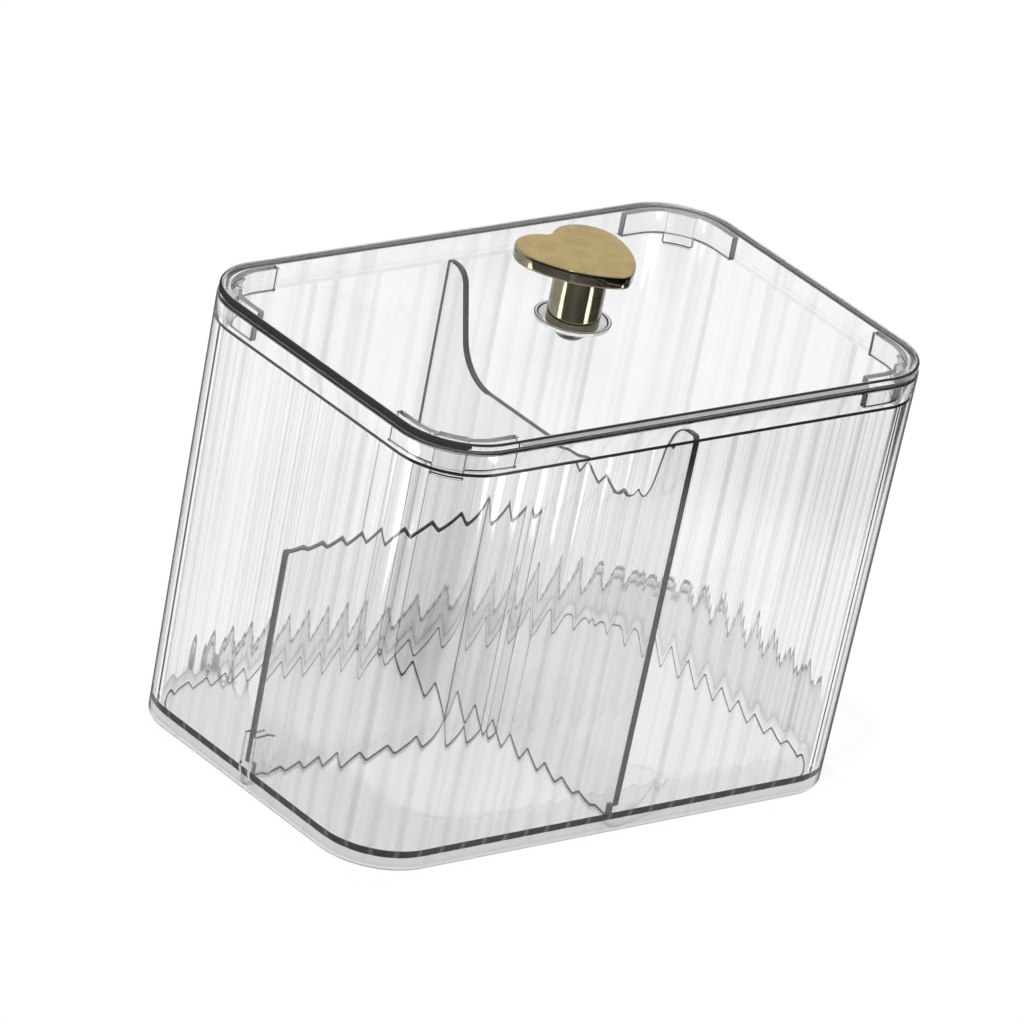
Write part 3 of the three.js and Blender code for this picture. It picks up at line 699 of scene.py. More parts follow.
def flute_nodes(kinds):
    """Node group that presses flutes into the marked wall and sets each face's material by its kind."""
    tree = bpy.data.node_groups.new("Flutes", "GeometryNodeTree")
    tree.interface.new_socket("Geometry", in_out="INPUT", socket_type="NodeSocketGeometry")
    tree.interface.new_socket("Depth", in_out="INPUT", socket_type="NodeSocketFloat")
    tree.interface.new_socket("Ridge", in_out="INPUT", socket_type="NodeSocketFloat")
    tree.interface.new_socket("Geometry", in_out="OUTPUT", socket_type="NodeSocketGeometry")
    given = add_node(tree, "NodeGroupInput").outputs
    marks = {}
    for name, kind in FLUTE_MARKS:
        reader = add_node(tree, "GeometryNodeInputNamedAttribute", {"Name": name}, data_type=kind)
        marks[name] = reader.outputs["Attribute"]

    # Across a flute, from 0 in the valley to 1 on the ridge
    signed = add_node(tree, "ShaderNodeMath", (marks["flute_share"], 2.0, -1.0), operation="MULTIPLY_ADD")
    across = add_node(tree, "ShaderNodeMath", (signed,), operation="ABSOLUTE")
    # Valley: a parabola that ends at a share of the half width
    meet = add_node(tree, "ShaderNodeMath", (1.0, given["Ridge"]), operation="SUBTRACT")
    squared = add_node(tree, "ShaderNodeMath", (across, across), operation="MULTIPLY")
    valley = add_node(tree, "ShaderNodeMath", (squared, meet), operation="DIVIDE")
    # Ridge: the same parabola upside down
    to_ridge = add_node(tree, "ShaderNodeMath", (1.0, across), operation="SUBTRACT")
    squared = add_node(tree, "ShaderNodeMath", (to_ridge, to_ridge), operation="MULTIPLY")
    fall = add_node(tree, "ShaderNodeMath", (squared, given["Ridge"]), operation="DIVIDE")
    ridge = add_node(tree, "ShaderNodeMath", (1.0, fall), operation="SUBTRACT")

    in_ridge = add_node(tree, "ShaderNodeMath", (across, meet), operation="GREATER_THAN")
    shape = add_node(tree, "ShaderNodeMix", {"Factor": in_ridge, "A": valley, "B": ridge}, data_type="FLOAT")
    on_wall = add_node(tree, "ShaderNodeMath", (shape, marks["fluted"]), operation="MULTIPLY")
    press = add_node(tree, "ShaderNodeMath", (on_wall, given["Depth"]), operation="MULTIPLY")
    shift = add_node(tree, "ShaderNodeVectorMath", {0: marks["flute_in"], "Scale": press}, operation="SCALE")
    moved = add_node(tree, "GeometryNodeSetPosition", {"Geometry": given["Geometry"], "Offset": shift})
    kept = add_node(
        tree,
        "GeometryNodeStoreNamedAttribute",
        {"Geometry": moved, "Name": "ridge", "Value": on_wall},
        data_type="FLOAT",
        domain="POINT",
    )
    done = add_node(tree, "GeometryNodeRealizeInstances", {"Geometry": kept})
    for number, material in enumerate(kinds):
        inputs = {"A": marks["kind"], "B": number}
        chosen = add_node(tree, "FunctionNodeCompare", inputs, data_type="INT", operation="EQUAL")
        inputs = {"Geometry": done, "Selection": chosen, "Material": material}
        done = add_node(tree, "GeometryNodeSetMaterial", inputs)
    add_node(tree, "NodeGroupOutput", {"Geometry": done})
    return tree


def guide_rib():
    box = settings().box
    root = -box.flute_depth - box.wall / 2
    top = box.floor + box.guide_height
    outline = filleted([
        (root, box.floor / 2, 0),
        (box.guide_reach, box.floor / 2, 0),
        (box.guide_reach, top, box.guide_thickness),
        (root, top, 0),
    ])
    return extruded("guide", outline, -box.guide_thickness / 2, box.guide_thickness / 2, ALONG_X)


def guide_ribs():
    """Two low ribs on the left wall, either side of the short divider's foot."""
    box, divider = settings().box, settings().divider
    x = half_size(box.floor, box.wall + box.flute_depth)[0]
    offset = divider.thickness / 2 + box.guide_gap + box.guide_thickness / 2
    ribs = []
    for side in (-offset, offset):
        rib = guide_rib()
        rib.data.transform(Matrix.Translation((-x, divider.short_y + side, 0)))
        ribs.append(rib)
    return ribs


def ring_run(levels, fluted, finish, last_finish):
    """Rings as (height, inset, fluted, finish of the faces up to the next ring)."""
    run = [(z, inset, fluted, finish) for z, inset in levels]
    run[-1] = (*run[-1][:3], last_finish)
    return run


def box_rings():
    """The box's rings from its underside up the outer face, over the rim and down the fluted inner face."""
    box = settings().box
    band = box.wall - box.band_step
    ledge = box.height - box.band_height
    foot = quarter(0, 0, box.foot_round, FOOT_STEPS, up=True)
    rim_out = list(reversed(quarter(box.height, 0, box.rim_round, RIM_STEPS, up=False)))
    rim_in = quarter(box.height, band, box.rim_round / 2, INNER_RIM_STEPS, up=False, inward=False)
    floor = list(reversed(quarter(box.floor, box.wall, box.floor_round, FOOT_STEPS, up=True)))
    rings = ring_run(foot, 0, "polystyrene edge", "fluted polystyrene")
    rings += ring_run(rim_out, 0, "polystyrene edge", "rim polystyrene")
    rings += ring_run(rim_in, 0, "polystyrene edge", "fluted polystyrene")
    rings.append((ledge, band, 0, "inner rounding"))
    rings.append((ledge - box.band_fall, box.wall, 1, "fluted polystyrene"))
    rings += ring_run(floor[:-1], 1, "floor rounding", "cut edge")
    rings.append((*floor[-1], 1, None))
    return rings


BOX_FINISHES = (
    "fluted polystyrene",
    "polystyrene edge",
    "inner rounding",
    "textured underside",
    "floor rounding",
    "clear polystyrene",
    "cut edge",
    "rim polystyrene",
)


class ORGANIZER_OT_box(bpy.types.Operator):
    """Build the fluted box"""

    bl_idname = "organizer.box"
    bl_label = "Fluted Box"

    def execute(self, context):
        finishes()
        box = settings().box
        rings = box_rings()
        vertices, shares, ins, fluted = [], [], [], []
        for z, inset, is_fluted, _ in rings:
            for point, out, across in wall_points(z, inset):
                vertices.append((point.x, point.y, z))
                shares.append(across)
                ins += [-out.x, -out.y, 0]
                fluted.append(is_fluted)
        count = len(vertices) // len(rings)
        faces, kinds = [], []
        for level in range(len(rings) - 1):
            for i in range(count):
                a, b = level * count + i, level * count + (i + 1) % count
                faces.append((a, b, b + count, a + count))
                kinds.append(BOX_FINISHES.index(rings[level][3]))
        caps = ((0, 0, "textured underside"), (len(rings) - 1, box.floor, "clear polystyrene"))
        for ring, z, finish in caps:
            vertices.append((0, 0, z))
            shares.append(0)
            ins += [0, 0, 0]
            fluted.append(0)
            for i in range(count):
                faces.append((ring * count + i, ring * count + (i + 1) % count, len(vertices) - 1))
                kinds.append(BOX_FINISHES.index(finish))
        piece = new_object("fluted_box", vertices, faces)
        attributes = piece.data.attributes
        attributes.new("flute_share", "FLOAT", "POINT").data.foreach_set("value", shares)
        attributes.new("flute_in", "FLOAT_VECTOR", "POINT").data.foreach_set("vector", ins)
        attributes.new("fluted", "FLOAT", "POINT").data.foreach_set("value", fluted)
        attributes.new("kind", "INT", "FACE").data.foreach_set("value", kinds)
        flutes = piece.modifiers.new("Flutes", "NODES")
        flutes.node_group = flute_nodes([bpy.data.materials[name] for name in BOX_FINISHES])
        items = flutes.node_group.interface.items_tree
        sockets = {item.name: item.identifier for item in items if item.in_out == "INPUT"}
        flutes[sockets["Depth"]] = box.flute_depth
        flutes[sockets["Ridge"]] = box.flute_ridge
        baked(piece)
        ribs = guide_ribs()
        for rib in ribs:
            paint(rib, ["clear polystyrene"])
        combined(piece, ribs, "UNION")
        smooth(piece)
        finished(piece, "box", "clear_plastic", "box_body")
        return {"FINISHED"}


BROAD = 0.95  # part of the direction that a broad face has across its sheet
UNDER = 0.9  # part of the direction that a foot has downwards
LEANING = 0.1  # least part of the direction that a rounding has


def divider_finish(across, up):
    """Clear broad faces and tops, and painted shade elsewhere: ends painted dark from inside, roundings and
    feet painted dark.
    """
    if abs(across) > BROAD:
        return "sheet polystyrene"
    if abs(across) > LEANING or up < -UNDER or abs(up) < LEANING:
        return "cut edge"
    return "sheet polystyrene" if up > LEANING else "inner rounding"


DIVIDER_FINISHES = ("sheet polystyrene", "inner rounding", "cut edge")


def tall_divider(left, inset, notch_top):
    """Plate from the front wall to the back wall: two horns, a scoop, a groove for the short divider."""
    divider = settings().divider
    foot_y = half_size(divider.foot, inset)[1]
    top_y = half_size(divider.tall_top, inset)[1]
    half = [
        (foot_y - divider.notch_width, divider.foot, 0),
        (foot_y - divider.notch_width, notch_top, 0),
        (foot_y, notch_top, 0),
        (top_y, divider.tall_top, divider.corner_round),
        (top_y - divider.horn_width, divider.tall_top, divider.horn_round),
        (top_y - divider.horn_foot, divider.tall_top - divider.scoop_depth, divider.scoop_round),
    ]
    outline = filleted(half + [(-y, z, r) for y, z, r in reversed(half)])
    panel = extruded("tall_divider_panel", outline, left, left + divider.thickness, ALONG_Y)
    bevelled(panel, divider.edge_round)
    reach = divider.thickness / 2 + divider.groove_gap
    top = divider.short_top + divider.groove_gap
    front, back = divider.short_y - reach, divider.short_y + reach
    slot = [Vector(p) for p in ((front, 0), (back, 0), (back, top), (front, top))]
    groove = extruded("groove", slot, left - divider.groove_depth, left + divider.groove_depth, ALONG_Y)
    combined(panel, [groove], "DIFFERENCE")
    slot_reach = reach + divider.edge_round
    slot_foot = divider.foot + divider.edge_round

    def choose(face):
        if abs(face.center.y - divider.short_y) < slot_reach and face.center.z > slot_foot:
            return "sheet polystyrene"
        return divider_finish(face.normal.x, face.normal.z)

    paint(panel, DIVIDER_FINISHES, choose)
    finished(smooth(panel), "box", "clear_plastic", "tall_divider")


def short_divider(left, inset, notch_top):
    """Plate from the left wall into the tall divider's groove."""
    divider = settings().divider
    foot_x = -half_size(divider.foot, inset)[0]
    top_x = -half_size(divider.short_top, inset)[0]
    inner = left + divider.groove_depth - divider.groove_gap
    outline = filleted([
        (foot_x + divider.notch_width, divider.foot, 0),
        (inner, divider.foot, 0),
        (inner, divider.short_top, 0),
        (top_x, divider.short_top, divider.corner_round),
        (foot_x, notch_top, 0),
        (foot_x + divider.notch_width, notch_top, 0),
    ])
    front = -divider.short_y - divider.thickness / 2
    panel = extruded("short_divider_panel", outline, front, front + divider.thickness, ALONG_X)
    bevelled(panel, divider.edge_round)
    in_groove = inner - 2 * divider.edge_round

    def choose(face):
        if face.center.x > in_groove:
            return "sheet polystyrene"
        return divider_finish(face.normal.y, face.normal.z)

    paint(panel, DIVIDER_FINISHES, choose)
    finished(smooth(panel), "box", "clear_plastic", "short_divider")


class ORGANIZER_OT_dividers(bpy.types.Operator):
    """Build the tall and the short divider"""

    bl_idname = "organizer.dividers"
    bl_label = "Dividers"

    def execute(self, context):
        finishes()
        box, divider = settings().box, settings().divider
        left = divider.tall_x - divider.thickness / 2
        inset = box.wall + divider.clearance
        notch_top = divider.foot + divider.notch_height
        tall_divider(left, inset, notch_top)
        short_divider(left, inset, notch_top)
        return {"FINISHED"}


def lug_outline(sign_x, sign_y, steps=16):
    """A corner's lug as a curved L strip, in the quadrant given by two signs."""
    box, lid = settings().box, settings().lid
    inset = box.wall + lid.lug_gap
    x, y = half_size(box.height - box.band_height, inset)
    radius = box.corner_radius - inset
    end_x, end_y = box.length / 2 - lid.lug_reach, box.depth / 2 - lid.lug_reach
    outer = arc(x - radius, y - radius, radius, 0, math.pi / 2, steps)
    inner = arc(x - radius, y - radius, radius - lid.lug_thickness, math.pi / 2, 0, steps)
    points = [Vector((x, end_y)), *outer, Vector((end_x, y)), Vector((end_x, y - lid.lug_thickness)), *inner]
    points.append(Vector((x - lid.lug_thickness, end_y)))
    return [Vector((sign_x * p.x, sign_y * p.y)) for p in points]


def tab_outline(sign_x, sign_y, steps=8):
    """The deeper tab at the middle of a corner's lug."""
    box, lid = settings().box, settings().lid
    inset = box.wall + lid.lug_gap
    radius = box.corner_radius - inset
    x, y = (size - radius for size in half_size(box.height - box.band_height, inset))
    half = lid.tab_width / 2 / radius
    middle = math.pi / 4
    outer = arc(x, y, radius - lid.tab_inset, middle - half, middle + half, steps)
    inner = arc(x, y, radius - lid.lug_thickness - lid.tab_step, middle + half, middle - half, steps)
    return [Vector((sign_x * p.x, sign_y * p.y)) for p in outer + inner]


UPRIGHT = 0.2  # most part of the direction that an upright face has up or down
FLAT = 0.98  # least part of the direction that a flat face has along an axis
FACING_LEFT = 0.5  # least part of the direction that the lid's left edge face has to the left
FACE_SLACK = 0.00024  # how far a face may lie from the plane that it is counted to
CUT_OVERRUN = 0.001  # how far a cutter goes on past what it cuts
HOLE_EDGE = 2  # times the collar's radius, within which a face belongs to the lid's hole


class ORGANIZER_OT_lid(bpy.types.Operator):
    """Build the lid with its corner lugs"""

    bl_idname = "organizer.lid"
    bl_label = "Lid"

    def execute(self, context):
        finishes()
        box, lid, knob = settings().box, settings().lid, settings().knob
        bottom = box.height + lid.gap
        top = bottom + lid.thickness
        levels = quarter(bottom, lid.shrink, lid.edge_round, LID_STEPS, up=True)
        levels += reversed(quarter(top, lid.shrink, lid.edge_round, LID_STEPS, up=False))
        # Every second point of the flutes' fine outline is enough for the smooth edge
        rings = [[(p.x, p.y, z) for p, _, _ in wall_points(z, inset)[::2]] for z, inset in levels]
        plate = lofted("lid_plate", rings)
        root = bottom + lid.thickness / 2
        hanging = []
        for sign_x, sign_y in ((1, 1), (-1, 1), (-1, -1), (1, -1)):
            lug = extruded("lug", lug_outline(sign_x, sign_y), bottom - lid.lug_height, root)
            low = bottom - lid.lug_height - lid.tab_drop
            tab = extruded("tab", tab_outline(sign_x, sign_y), low, root)
            hanging += [bevelled(hung, lid.lug_round, LUG_STEPS) for hung in (lug, tab)]
        combined(plate, hanging, "UNION")
        reach = knob.post_radius + knob.gap + knob.collar_wall
        foot, rim = bottom - knob.collar_drop, top + knob.collar_rise
        slope = knob.collar_flare / (rim - foot)
        low, high = foot - CUT_OVERRUN, rim + CUT_OVERRUN
        low_reach, high_reach = (reach + slope * (z - foot) + knob.gap for z in (low, high))
        hole = turned("hole", [(0, low), (low_reach, low), (high_reach, high), (0, high)])
        combined(plate, [hole], "DIFFERENCE")

        end_x, end_y = box.length / 2 - lid.lug_reach, box.depth / 2 - lid.lug_reach

        def choose(face):
            normal, centre = face.normal, face.center
            up = abs(normal.z)
            if centre.z > bottom - FACE_SLACK:
                # The upright face of the left edge is painted dark as well: painted shade along that edge
                if up < UPRIGHT and normal.x < -FACING_LEFT:
                    return "lid edge"
                if up < UPRIGHT or up > FLAT or centre.xy.length < HOLE_EDGE * reach:
                    return "lid polystyrene"
                return "lid edge" if normal.z > 0 else "outer rounding"
            off_end = min(abs(abs(centre.x) - end_x), abs(abs(centre.y) - end_y))
            is_end = off_end < FACE_SLACK
            is_slanted = max(abs(part) for part in normal) < FLAT
            # The lugs' slanted and end faces are painted dark: painted shade
            if is_slanted and (is_end or up > LEANING):
                return "cut edge"
            return "polystyrene edge" if is_end or up > UPRIGHT else "lid polystyrene"

        names = ("lid polystyrene", "lid edge", "outer rounding", "polystyrene edge", "cut edge")
        paint(plate, names, choose)
        finished(smooth(plate), "lid", "clear_plastic", "lid")
        return {"FINISHED"}


# Points along the heart's arcs. The notch has as many as the tip
TIP_STEPS = 10
FLANK_STEPS = 24
LOBE_STEPS = 36


def heart_outline():
    """Two lobes, a notch between them, two long flanks and a round tip."""
    knob = settings().knob
    lobe = Vector((knob.lobe_spread, knob.lobe_rise))
    tip = Vector((0, -knob.tip_drop))
    to_lobe = knob.flank_radius - knob.lobe_radius
    to_tip = knob.flank_radius - knob.tip_radius
    span = (lobe - tip).length
    along = (to_tip**2 - to_lobe**2 + span**2) / (2 * span)
    axis = (lobe - tip).normalized()
    side = Vector((-axis.y, axis.x))
    flank = tip + axis * along + side * math.sqrt(to_tip**2 - along**2)
    start = math.atan2(tip.y - flank.y, tip.x - flank.x)
    end = math.atan2(lobe.y - flank.y, lobe.x - flank.x)
    rise = math.sqrt((knob.lobe_radius + knob.notch_radius) ** 2 - lobe.x**2)
    lobe_end = math.atan2(rise, -lobe.x)
    half = arc(0, tip.y, knob.tip_radius, -math.pi / 2, start, TIP_STEPS)
    half += arc(flank.x, flank.y, knob.flank_radius, start, end, FLANK_STEPS)[1:]
    half += arc(lobe.x, lobe.y, knob.lobe_radius, end, lobe_end, LOBE_STEPS)[1:]
    half += arc(0, lobe.y + rise, knob.notch_radius, lobe_end - math.pi, -math.pi / 2, TIP_STEPS)[1:]
    return half + [Vector((-p.x, p.y)) for p in reversed(half[1:-1])]


COLLAR_EDGE_ANGLE = 20  # its cone meets its other faces at blunt angles
HEART_TOP = 0.99  # least part of the direction that the heart's top has upwards
COLLAR_TOP = 0.97  # most part of the direction that the rounding at the collar's rim has upwards
COLLAR_UNDER = 0.3  # least part of the direction that the collar's underside has downwards


class ORGANIZER_OT_knob(bpy.types.Operator):
    """Build the heart, the post and the collar of the knob, and finish its screw"""

    bl_idname = "organizer.knob"
    bl_label = "Knob"

    def execute(self, context):
        finishes()
        box, lid, knob = settings().box, settings().lid, settings().knob
        lid_bottom = box.height + lid.gap
        lid_top = lid_bottom + lid.thickness
        heart_bottom = lid_top + knob.height - knob.heart_thickness
        collar_foot = lid_bottom - knob.collar_drop
        heart = knob_heart(heart_bottom)
        post = knob_post(collar_foot, heart_bottom)
        knob_collar(collar_foot, lid_top)
        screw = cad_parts["knob_screw"]
        paint(screw, ["zinc plate"])
        # The light round the object is so even that the knob's metals leave no shadow inside the box
        for metal in (heart, post, screw):
            metal.visible_shadow = False
        return {"FINISHED"}


def knob_heart(bottom):
    """Heart with a socket for the post's spigot in its underside."""
    knob = settings().knob
    heart = extruded("heart_plate", heart_outline(), bottom, bottom + knob.heart_thickness)
    bevelled(heart, knob.heart_round, HEART_STEPS)
    radius = knob.spigot_radius + knob.gap
    low, high = bottom - CUT_OVERRUN, bottom + knob.spigot_height
    combined(heart, [turned("socket", [(0, low), (radius, low), (radius, high), (0, high)])], "DIFFERENCE")
    heart.data.transform(Matrix.Rotation(knob.turn, 4, "Z"))

    def choose(face):
        return "satin gold plate" if face.normal.z > HEART_TOP else "polished gold plate"

    paint(heart, ("satin gold plate", "polished gold plate"), choose)
    finished(smooth(heart), "lid", "gold_satin", "knob_heart")
    return heart


def knob_post(collar_foot, heart_bottom):
    """Turned post with a bore for the screw and a spigot for the heart."""
    knob = settings().knob
    foot = collar_foot + knob.collar_base + knob.gap
    shoulder = heart_bottom - knob.gap
    bore = knob.screw_radius + knob.gap
    bore_top = collar_foot - knob.gap + knob.bore_reach
    post = turned("turned_post", [
        (0, bore_top),
        (bore, bore_top),
        (bore, foot),
        (knob.post_radius - knob.post_chamfer, foot),
        (knob.post_radius, foot + knob.post_chamfer),
        (knob.post_radius, shoulder),
        (knob.spigot_radius, shoulder),
        (knob.spigot_radius, shoulder + knob.spigot_height),
        (0, shoulder + knob.spigot_height),
    ])
    paint(post, ["polished gold plate"])
    finished(smooth(post), "lid", "gold_polished", "knob_post")
    return post


def knob_collar(foot, lid_top):
    """Conical cup round the post's foot, with a hole for the screw in its floor."""
    knob = settings().knob
    bore = knob.screw_radius + knob.gap
    cup_radius = knob.post_radius + knob.gap
    foot_radius = cup_radius + knob.collar_wall
    rim_radius = foot_radius + knob.collar_flare
    rim = lid_top + knob.collar_rise
    cup = foot + knob.collar_base
    collar = turned("collar_cup", [
        (bore, foot),
        (foot_radius, foot),
        (rim_radius, rim),
        (rim_radius - knob.collar_lip, rim),
        (cup_radius, cup + knob.collar_lip),
        (cup_radius, cup),
        (bore, cup),
    ])
    bevelled(collar, knob.collar_round, degrees=COLLAR_EDGE_ANGLE)
    slack = knob.collar_round / 4
    near_rim = rim - knob.collar_round - slack

    def choose(face):
        up = face.normal.z
        # The rounding at the collar's rim is painted dark: painted shade
        if LEANING < up < COLLAR_TOP and face.center.z > near_rim:
            return "cut edge"
        is_outer = face.center.xy.length > foot_radius - slack and up < 0
        return "ground seat" if is_outer or up < -COLLAR_UNDER else "clear polystyrene"

    paint(collar, ("clear polystyrene", "ground seat", "cut edge"), choose)
    finished(smooth(collar), "lid", "clear_plastic", "knob_collar")


# Stage
# Places are in metres from the middle of the box's underside, and angles in degrees

TO_CAMERA = (-0.685, -0.728, 0)
TO_RIGHT = (0.728, -0.685, 0)
ROOM_LEVEL = 0.03
ONE_MIRRORING = 0.5  # between no reflection and one
TABLE_REACH = 4.0
TABLE_DROP = 0.0002
# Where the white ends on the table, to the front and to the right, and in which directions it ends beyond it
SWEEP_FRONT = (0.13, 0.18)
SWEEP_RIGHT = (0.19, 0.24)
WORLD_FRONT = (0.1, 0.5)
WORLD_RIGHT = (0.5, 0.8)
# Middle of each card, and how its light fades at its edges
CARD_ASIDE = 0.205
CARD_ASIDE_FADE = (0.04, 0.055, 1.0, 0.0)
CARD_FRONT = 0.135
CARD_FRONT_FADE = (0.03, 0.04, 7.0, 0.0)
KEY_FROM = (-0.030, -0.016, 0.110)
KEY_ANGLE = 0.2
# Worked out from the box's outlines. The lens and the sensor are in millimetres
CAMERA_PLACE = (-1.63609, -1.73764, 1.15778)
CAMERA_TURN = (64.8351, -10.4749, -38.2805)
CAMERA_LENS = 397.77
CAMERA_SENSOR = 36


def sweep_end(tree, place, way, start, end):
    """1 up to start along a way, then less and less, down to the dark of the room at end."""
    far = add_node(tree, "ShaderNodeVectorMath", (place, way), operation="DOT_PRODUCT")
    levels = (far, start, end, 1.0, ROOM_LEVEL)
    return add_node(tree, "ShaderNodeMapRange", levels, interpolation_type="SMOOTHSTEP")


def white_sweep(tree, place, front, right):
    """White up to some way in front and to the right, and the dark room beyond."""
    to_front = sweep_end(tree, place, TO_CAMERA, *front)
    to_right = sweep_end(tree, place, TO_RIGHT, *right)
    return add_node(tree, "ShaderNodeMath", (to_front, to_right), operation="MULTIPLY")


def side_cards(tree, place):
    """Bright white cards painted into the table's glow, one on each side, which the knob's post mirrors as
    two stripes.
    """
    right = add_node(tree, "ShaderNodeVectorMath", (place, TO_RIGHT), operation="DOT_PRODUCT")
    aside = add_node(tree, "ShaderNodeMath", (right,), operation="ABSOLUTE")
    off = add_node(tree, "ShaderNodeMath", (aside, CARD_ASIDE), operation="SUBTRACT")
    off = add_node(tree, "ShaderNodeMath", (off,), operation="ABSOLUTE")
    wide = add_node(tree, "ShaderNodeMapRange", (off, *CARD_ASIDE_FADE), interpolation_type="SMOOTHSTEP")
    front = add_node(tree, "ShaderNodeVectorMath", (place, TO_CAMERA), operation="DOT_PRODUCT")
    off = add_node(tree, "ShaderNodeMath", (front, CARD_FRONT), operation="SUBTRACT")
    off = add_node(tree, "ShaderNodeMath", (off,), operation="ABSOLUTE")
    deep = add_node(tree, "ShaderNodeMapRange", (off, *CARD_FRONT_FADE), interpolation_type="SMOOTHSTEP")
    return add_node(tree, "ShaderNodeMath", (wide, deep), operation="MULTIPLY")


def background_rays(tree):
    """1 for sight, directly, through plastic or in a reflection, and 0 for light that falls on things."""
    path = add_node(tree, "ShaderNodeLightPath").outputs
    other = add_node(
        tree, "ShaderNodeMath", (path["Is Transmission Ray"], path["Is Glossy Ray"]), operation="MAXIMUM"
    )
    return add_node(tree, "ShaderNodeMath", (path["Is Camera Ray"], other), operation="MAXIMUM")


def table_material():
    """White table: it stays white to sight, and shows a shadow faintly, and more of it through plastic."""
    stage, box = settings().stage, settings().box
    tree = new_material("white table")
    path = add_node(tree, "ShaderNodeLightPath").outputs
    seen = path["Is Camera Ray"]
    place = add_node(tree, "ShaderNodeTexCoord").outputs["Object"]

    # Share of the table's light that a shadow takes away
    apart = add_node(tree, "ShaderNodeSeparateXYZ", {"Vector": place}).outputs
    in_length = add_node(tree, "ShaderNodeMath", (apart["X"], 0.0, box.length / 2), operation="COMPARE")
    in_depth = add_node(tree, "ShaderNodeMath", (apart["Y"], 0.0, box.depth / 2), operation="COMPARE")
    under = add_node(tree, "ShaderNodeMath", (in_length, in_depth), operation="MULTIPLY")
    inputs = {"Factor": seen, "A": stage.shadow_through, "B": stage.shadow_seen}
    around = add_node(tree, "ShaderNodeMix", inputs, data_type="FLOAT")
    inputs = {"Factor": under, "A": around, "B": stage.shadow_under}
    taken = add_node(tree, "ShaderNodeMix", inputs, data_type="FLOAT")
    rest = add_node(tree, "ShaderNodeMath", (1.0, taken), operation="SUBTRACT")

    # Cards and dark room are for reflections: what is seen straight through the plastic stays white
    straight = add_node(tree, "ShaderNodeMath", (path["Glossy Depth"], ONE_MIRRORING), operation="LESS_THAN")
    mirrored = add_node(tree, "ShaderNodeMath", (1.0, straight), operation="SUBTRACT")
    inside = add_node(tree, "ShaderNodeMath", (mirrored, path["Is Transmission Ray"]), operation="MULTIPLY")
    cards = add_node(tree, "ShaderNodeMath", (side_cards(tree, place), inside), operation="MULTIPLY")
    sweep = white_sweep(tree, place, SWEEP_FRONT, SWEEP_RIGHT)
    level = add_node(tree, "ShaderNodeMath", (sweep, straight), operation="MAXIMUM")
    level = add_node(tree, "ShaderNodeMath", (level, cards), operation="MAXIMUM")
    level = add_node(tree, "ShaderNodeMath", (level, seen), operation="MAXIMUM")

    lit = add_node(tree, "ShaderNodeMath", (taken, level), operation="MULTIPLY")
    glow = add_node(tree, "ShaderNodeMath", (rest, level), operation="MULTIPLY")
    glow = add_node(tree, "ShaderNodeMath", (glow, background_rays(tree)), operation="MULTIPLY")
    grey = add_node(tree, "ShaderNodeCombineColor", {"Red": lit, "Green": lit, "Blue": lit})
    matt = add_node(tree, "ShaderNodeBsdfDiffuse", {"Color": grey})
    lamp = add_node(tree, "ShaderNodeEmission", {"Color": WHITE, "Strength": glow})
    both = add_node(tree, "ShaderNodeAddShader", (matt, lamp))
    add_node(tree, "ShaderNodeOutputMaterial", {"Surface": both})


def studio_world():
    """White all round to sight, with the dark room in reflections, and an even fill of light."""
    world = bpy.data.worlds.new("studio")
    world.use_nodes = True
    tree = world.node_tree
    tree.nodes.clear()
    path = add_node(tree, "ShaderNodeLightPath").outputs
    way = add_node(tree, "ShaderNodeTexCoord").outputs["Generated"]
    straight = add_node(tree, "ShaderNodeMath", (path["Glossy Depth"], ONE_MIRRORING), operation="LESS_THAN")
    sweep = white_sweep(tree, way, WORLD_FRONT, WORLD_RIGHT)
    sweep = add_node(tree, "ShaderNodeMath", (sweep, straight), operation="MAXIMUM")
    sweep = add_node(tree, "ShaderNodeMath", (sweep, path["Is Camera Ray"]), operation="MAXIMUM")
    inputs = {"Factor": background_rays(tree), "A": settings().stage.fill_strength, "B": sweep}
    level = add_node(tree, "ShaderNodeMix", inputs, data_type="FLOAT")
    around = add_node(tree, "ShaderNodeBackground", {"Color": WHITE, "Strength": level})
    add_node(tree, "ShaderNodeOutputWorld", {"Surface": around})
    return world


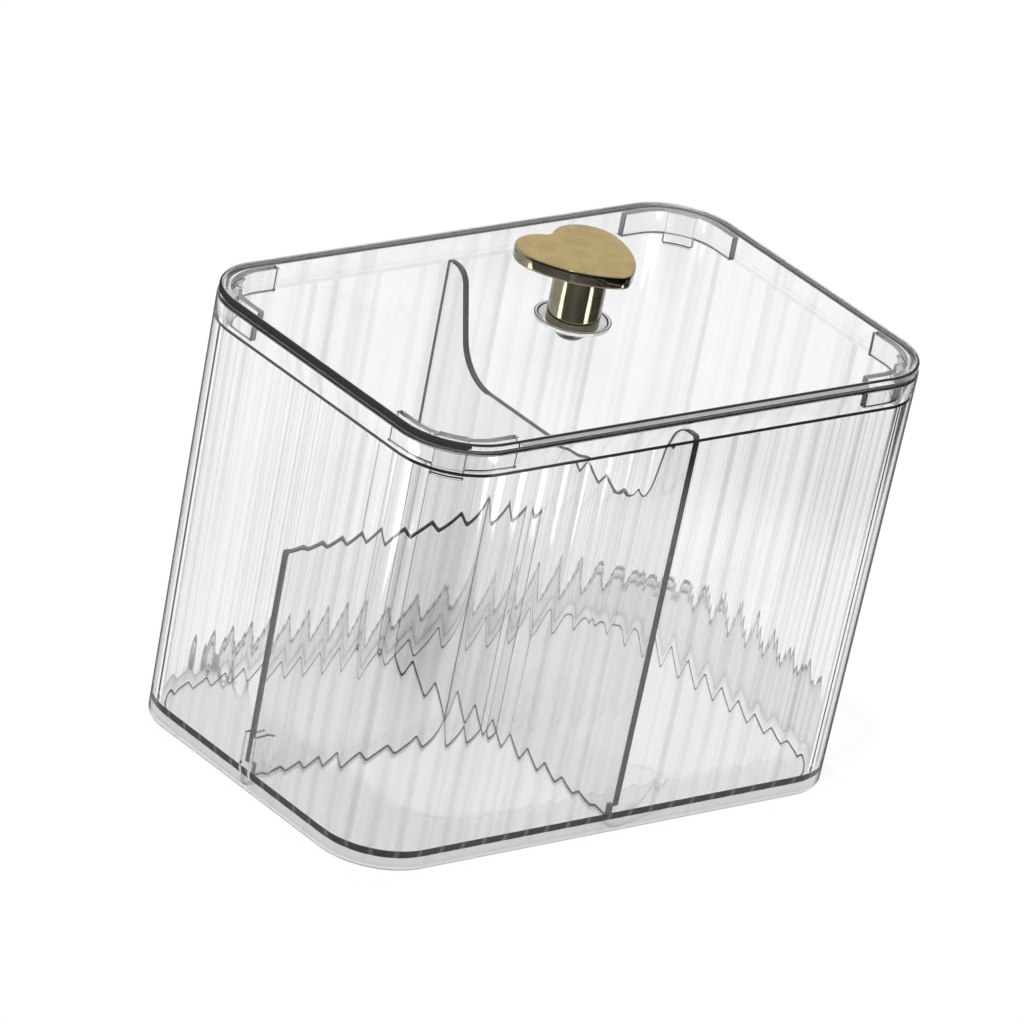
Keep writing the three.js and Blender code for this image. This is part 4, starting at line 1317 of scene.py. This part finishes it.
class ORGANIZER_OT_stage(bpy.types.Operator):
    """Build the floor, the lights and the camera"""

    bl_idname = "organizer.stage"
    bl_label = "Stage"

    def execute(self, context):
        scene = context.scene
        corners = [
            (x * TABLE_REACH, y * TABLE_REACH, -TABLE_DROP) for x, y in ((-1, -1), (1, -1), (1, 1), (-1, 1))
        ]
        table = new_object("table", corners, [(0, 1, 2, 3)])
        table_material()
        table.data.materials.append(bpy.data.materials["white table"])
        scene.world = studio_world()

        lamp = bpy.data.lights.new("key", "SUN")
        lamp.energy = settings().stage.key_strength
        lamp.angle = math.radians(KEY_ANGLE)
        key = bpy.data.objects.new("key", lamp)
        key.rotation_euler = Vector(KEY_FROM).to_track_quat("Z", "Y").to_euler()
        scene.collection.objects.link(key)

        camera = bpy.data.objects.new("camera", bpy.data.cameras.new("camera"))
        camera.data.sensor_width = CAMERA_SENSOR
        camera.data.lens = CAMERA_LENS
        camera.location = CAMERA_PLACE
        camera.rotation_euler = Euler([math.radians(angle) for angle in CAMERA_TURN])
        scene.collection.objects.link(camera)
        scene.camera = camera
        scene.view_settings.view_transform = "Standard"
        return {"FINISHED"}


class ORGANIZER_PT_panel(bpy.types.Panel):
    """Sizes, tints and build steps of the organizer"""

    bl_idname = "ORGANIZER_PT_panel"
    bl_label = "Clear Makeup Organizer"
    bl_space_type = "VIEW_3D"
    bl_region_type = "UI"
    bl_category = "Organizer"

    def draw(self, context):
        layout = self.layout
        organizer = context.scene.organizer
        for title, group in (
            ("Box", organizer.box),
            ("Dividers", organizer.divider),
            ("Lid", organizer.lid),
            ("Knob", organizer.knob),
            ("Tints", organizer.tints),
            ("Stage", organizer.stage),
        ):
            part = layout.box()
            part.label(text=title)
            for name in group.bl_rna.properties.keys():
                if name not in {"rna_type", "name"}:
                    part.prop(group, name)
        for step in STEPS:
            layout.operator(f"organizer.{step}")


STEPS = ("box", "dividers", "lid", "knob", "stage")
CLASSES = (
    BoxSizes,
    DividerSizes,
    LidSizes,
    KnobSizes,
    Tints,
    StageSettings,
    OrganizerSettings,
    ORGANIZER_OT_box,
    ORGANIZER_OT_dividers,
    ORGANIZER_OT_lid,
    ORGANIZER_OT_knob,
    ORGANIZER_OT_stage,
    ORGANIZER_PT_panel,
)


def register():
    for cls in CLASSES:
        bpy.utils.register_class(cls)
    bpy.types.Scene.organizer = PointerProperty(type=OrganizerSettings)


def unregister():
    del bpy.types.Scene.organizer
    for cls in reversed(CLASSES):
        bpy.utils.unregister_class(cls)


def main():
    register()
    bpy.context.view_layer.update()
    for step in STEPS:
        getattr(bpy.ops.organizer, step)()


if __name__ == "__main__":
    main()
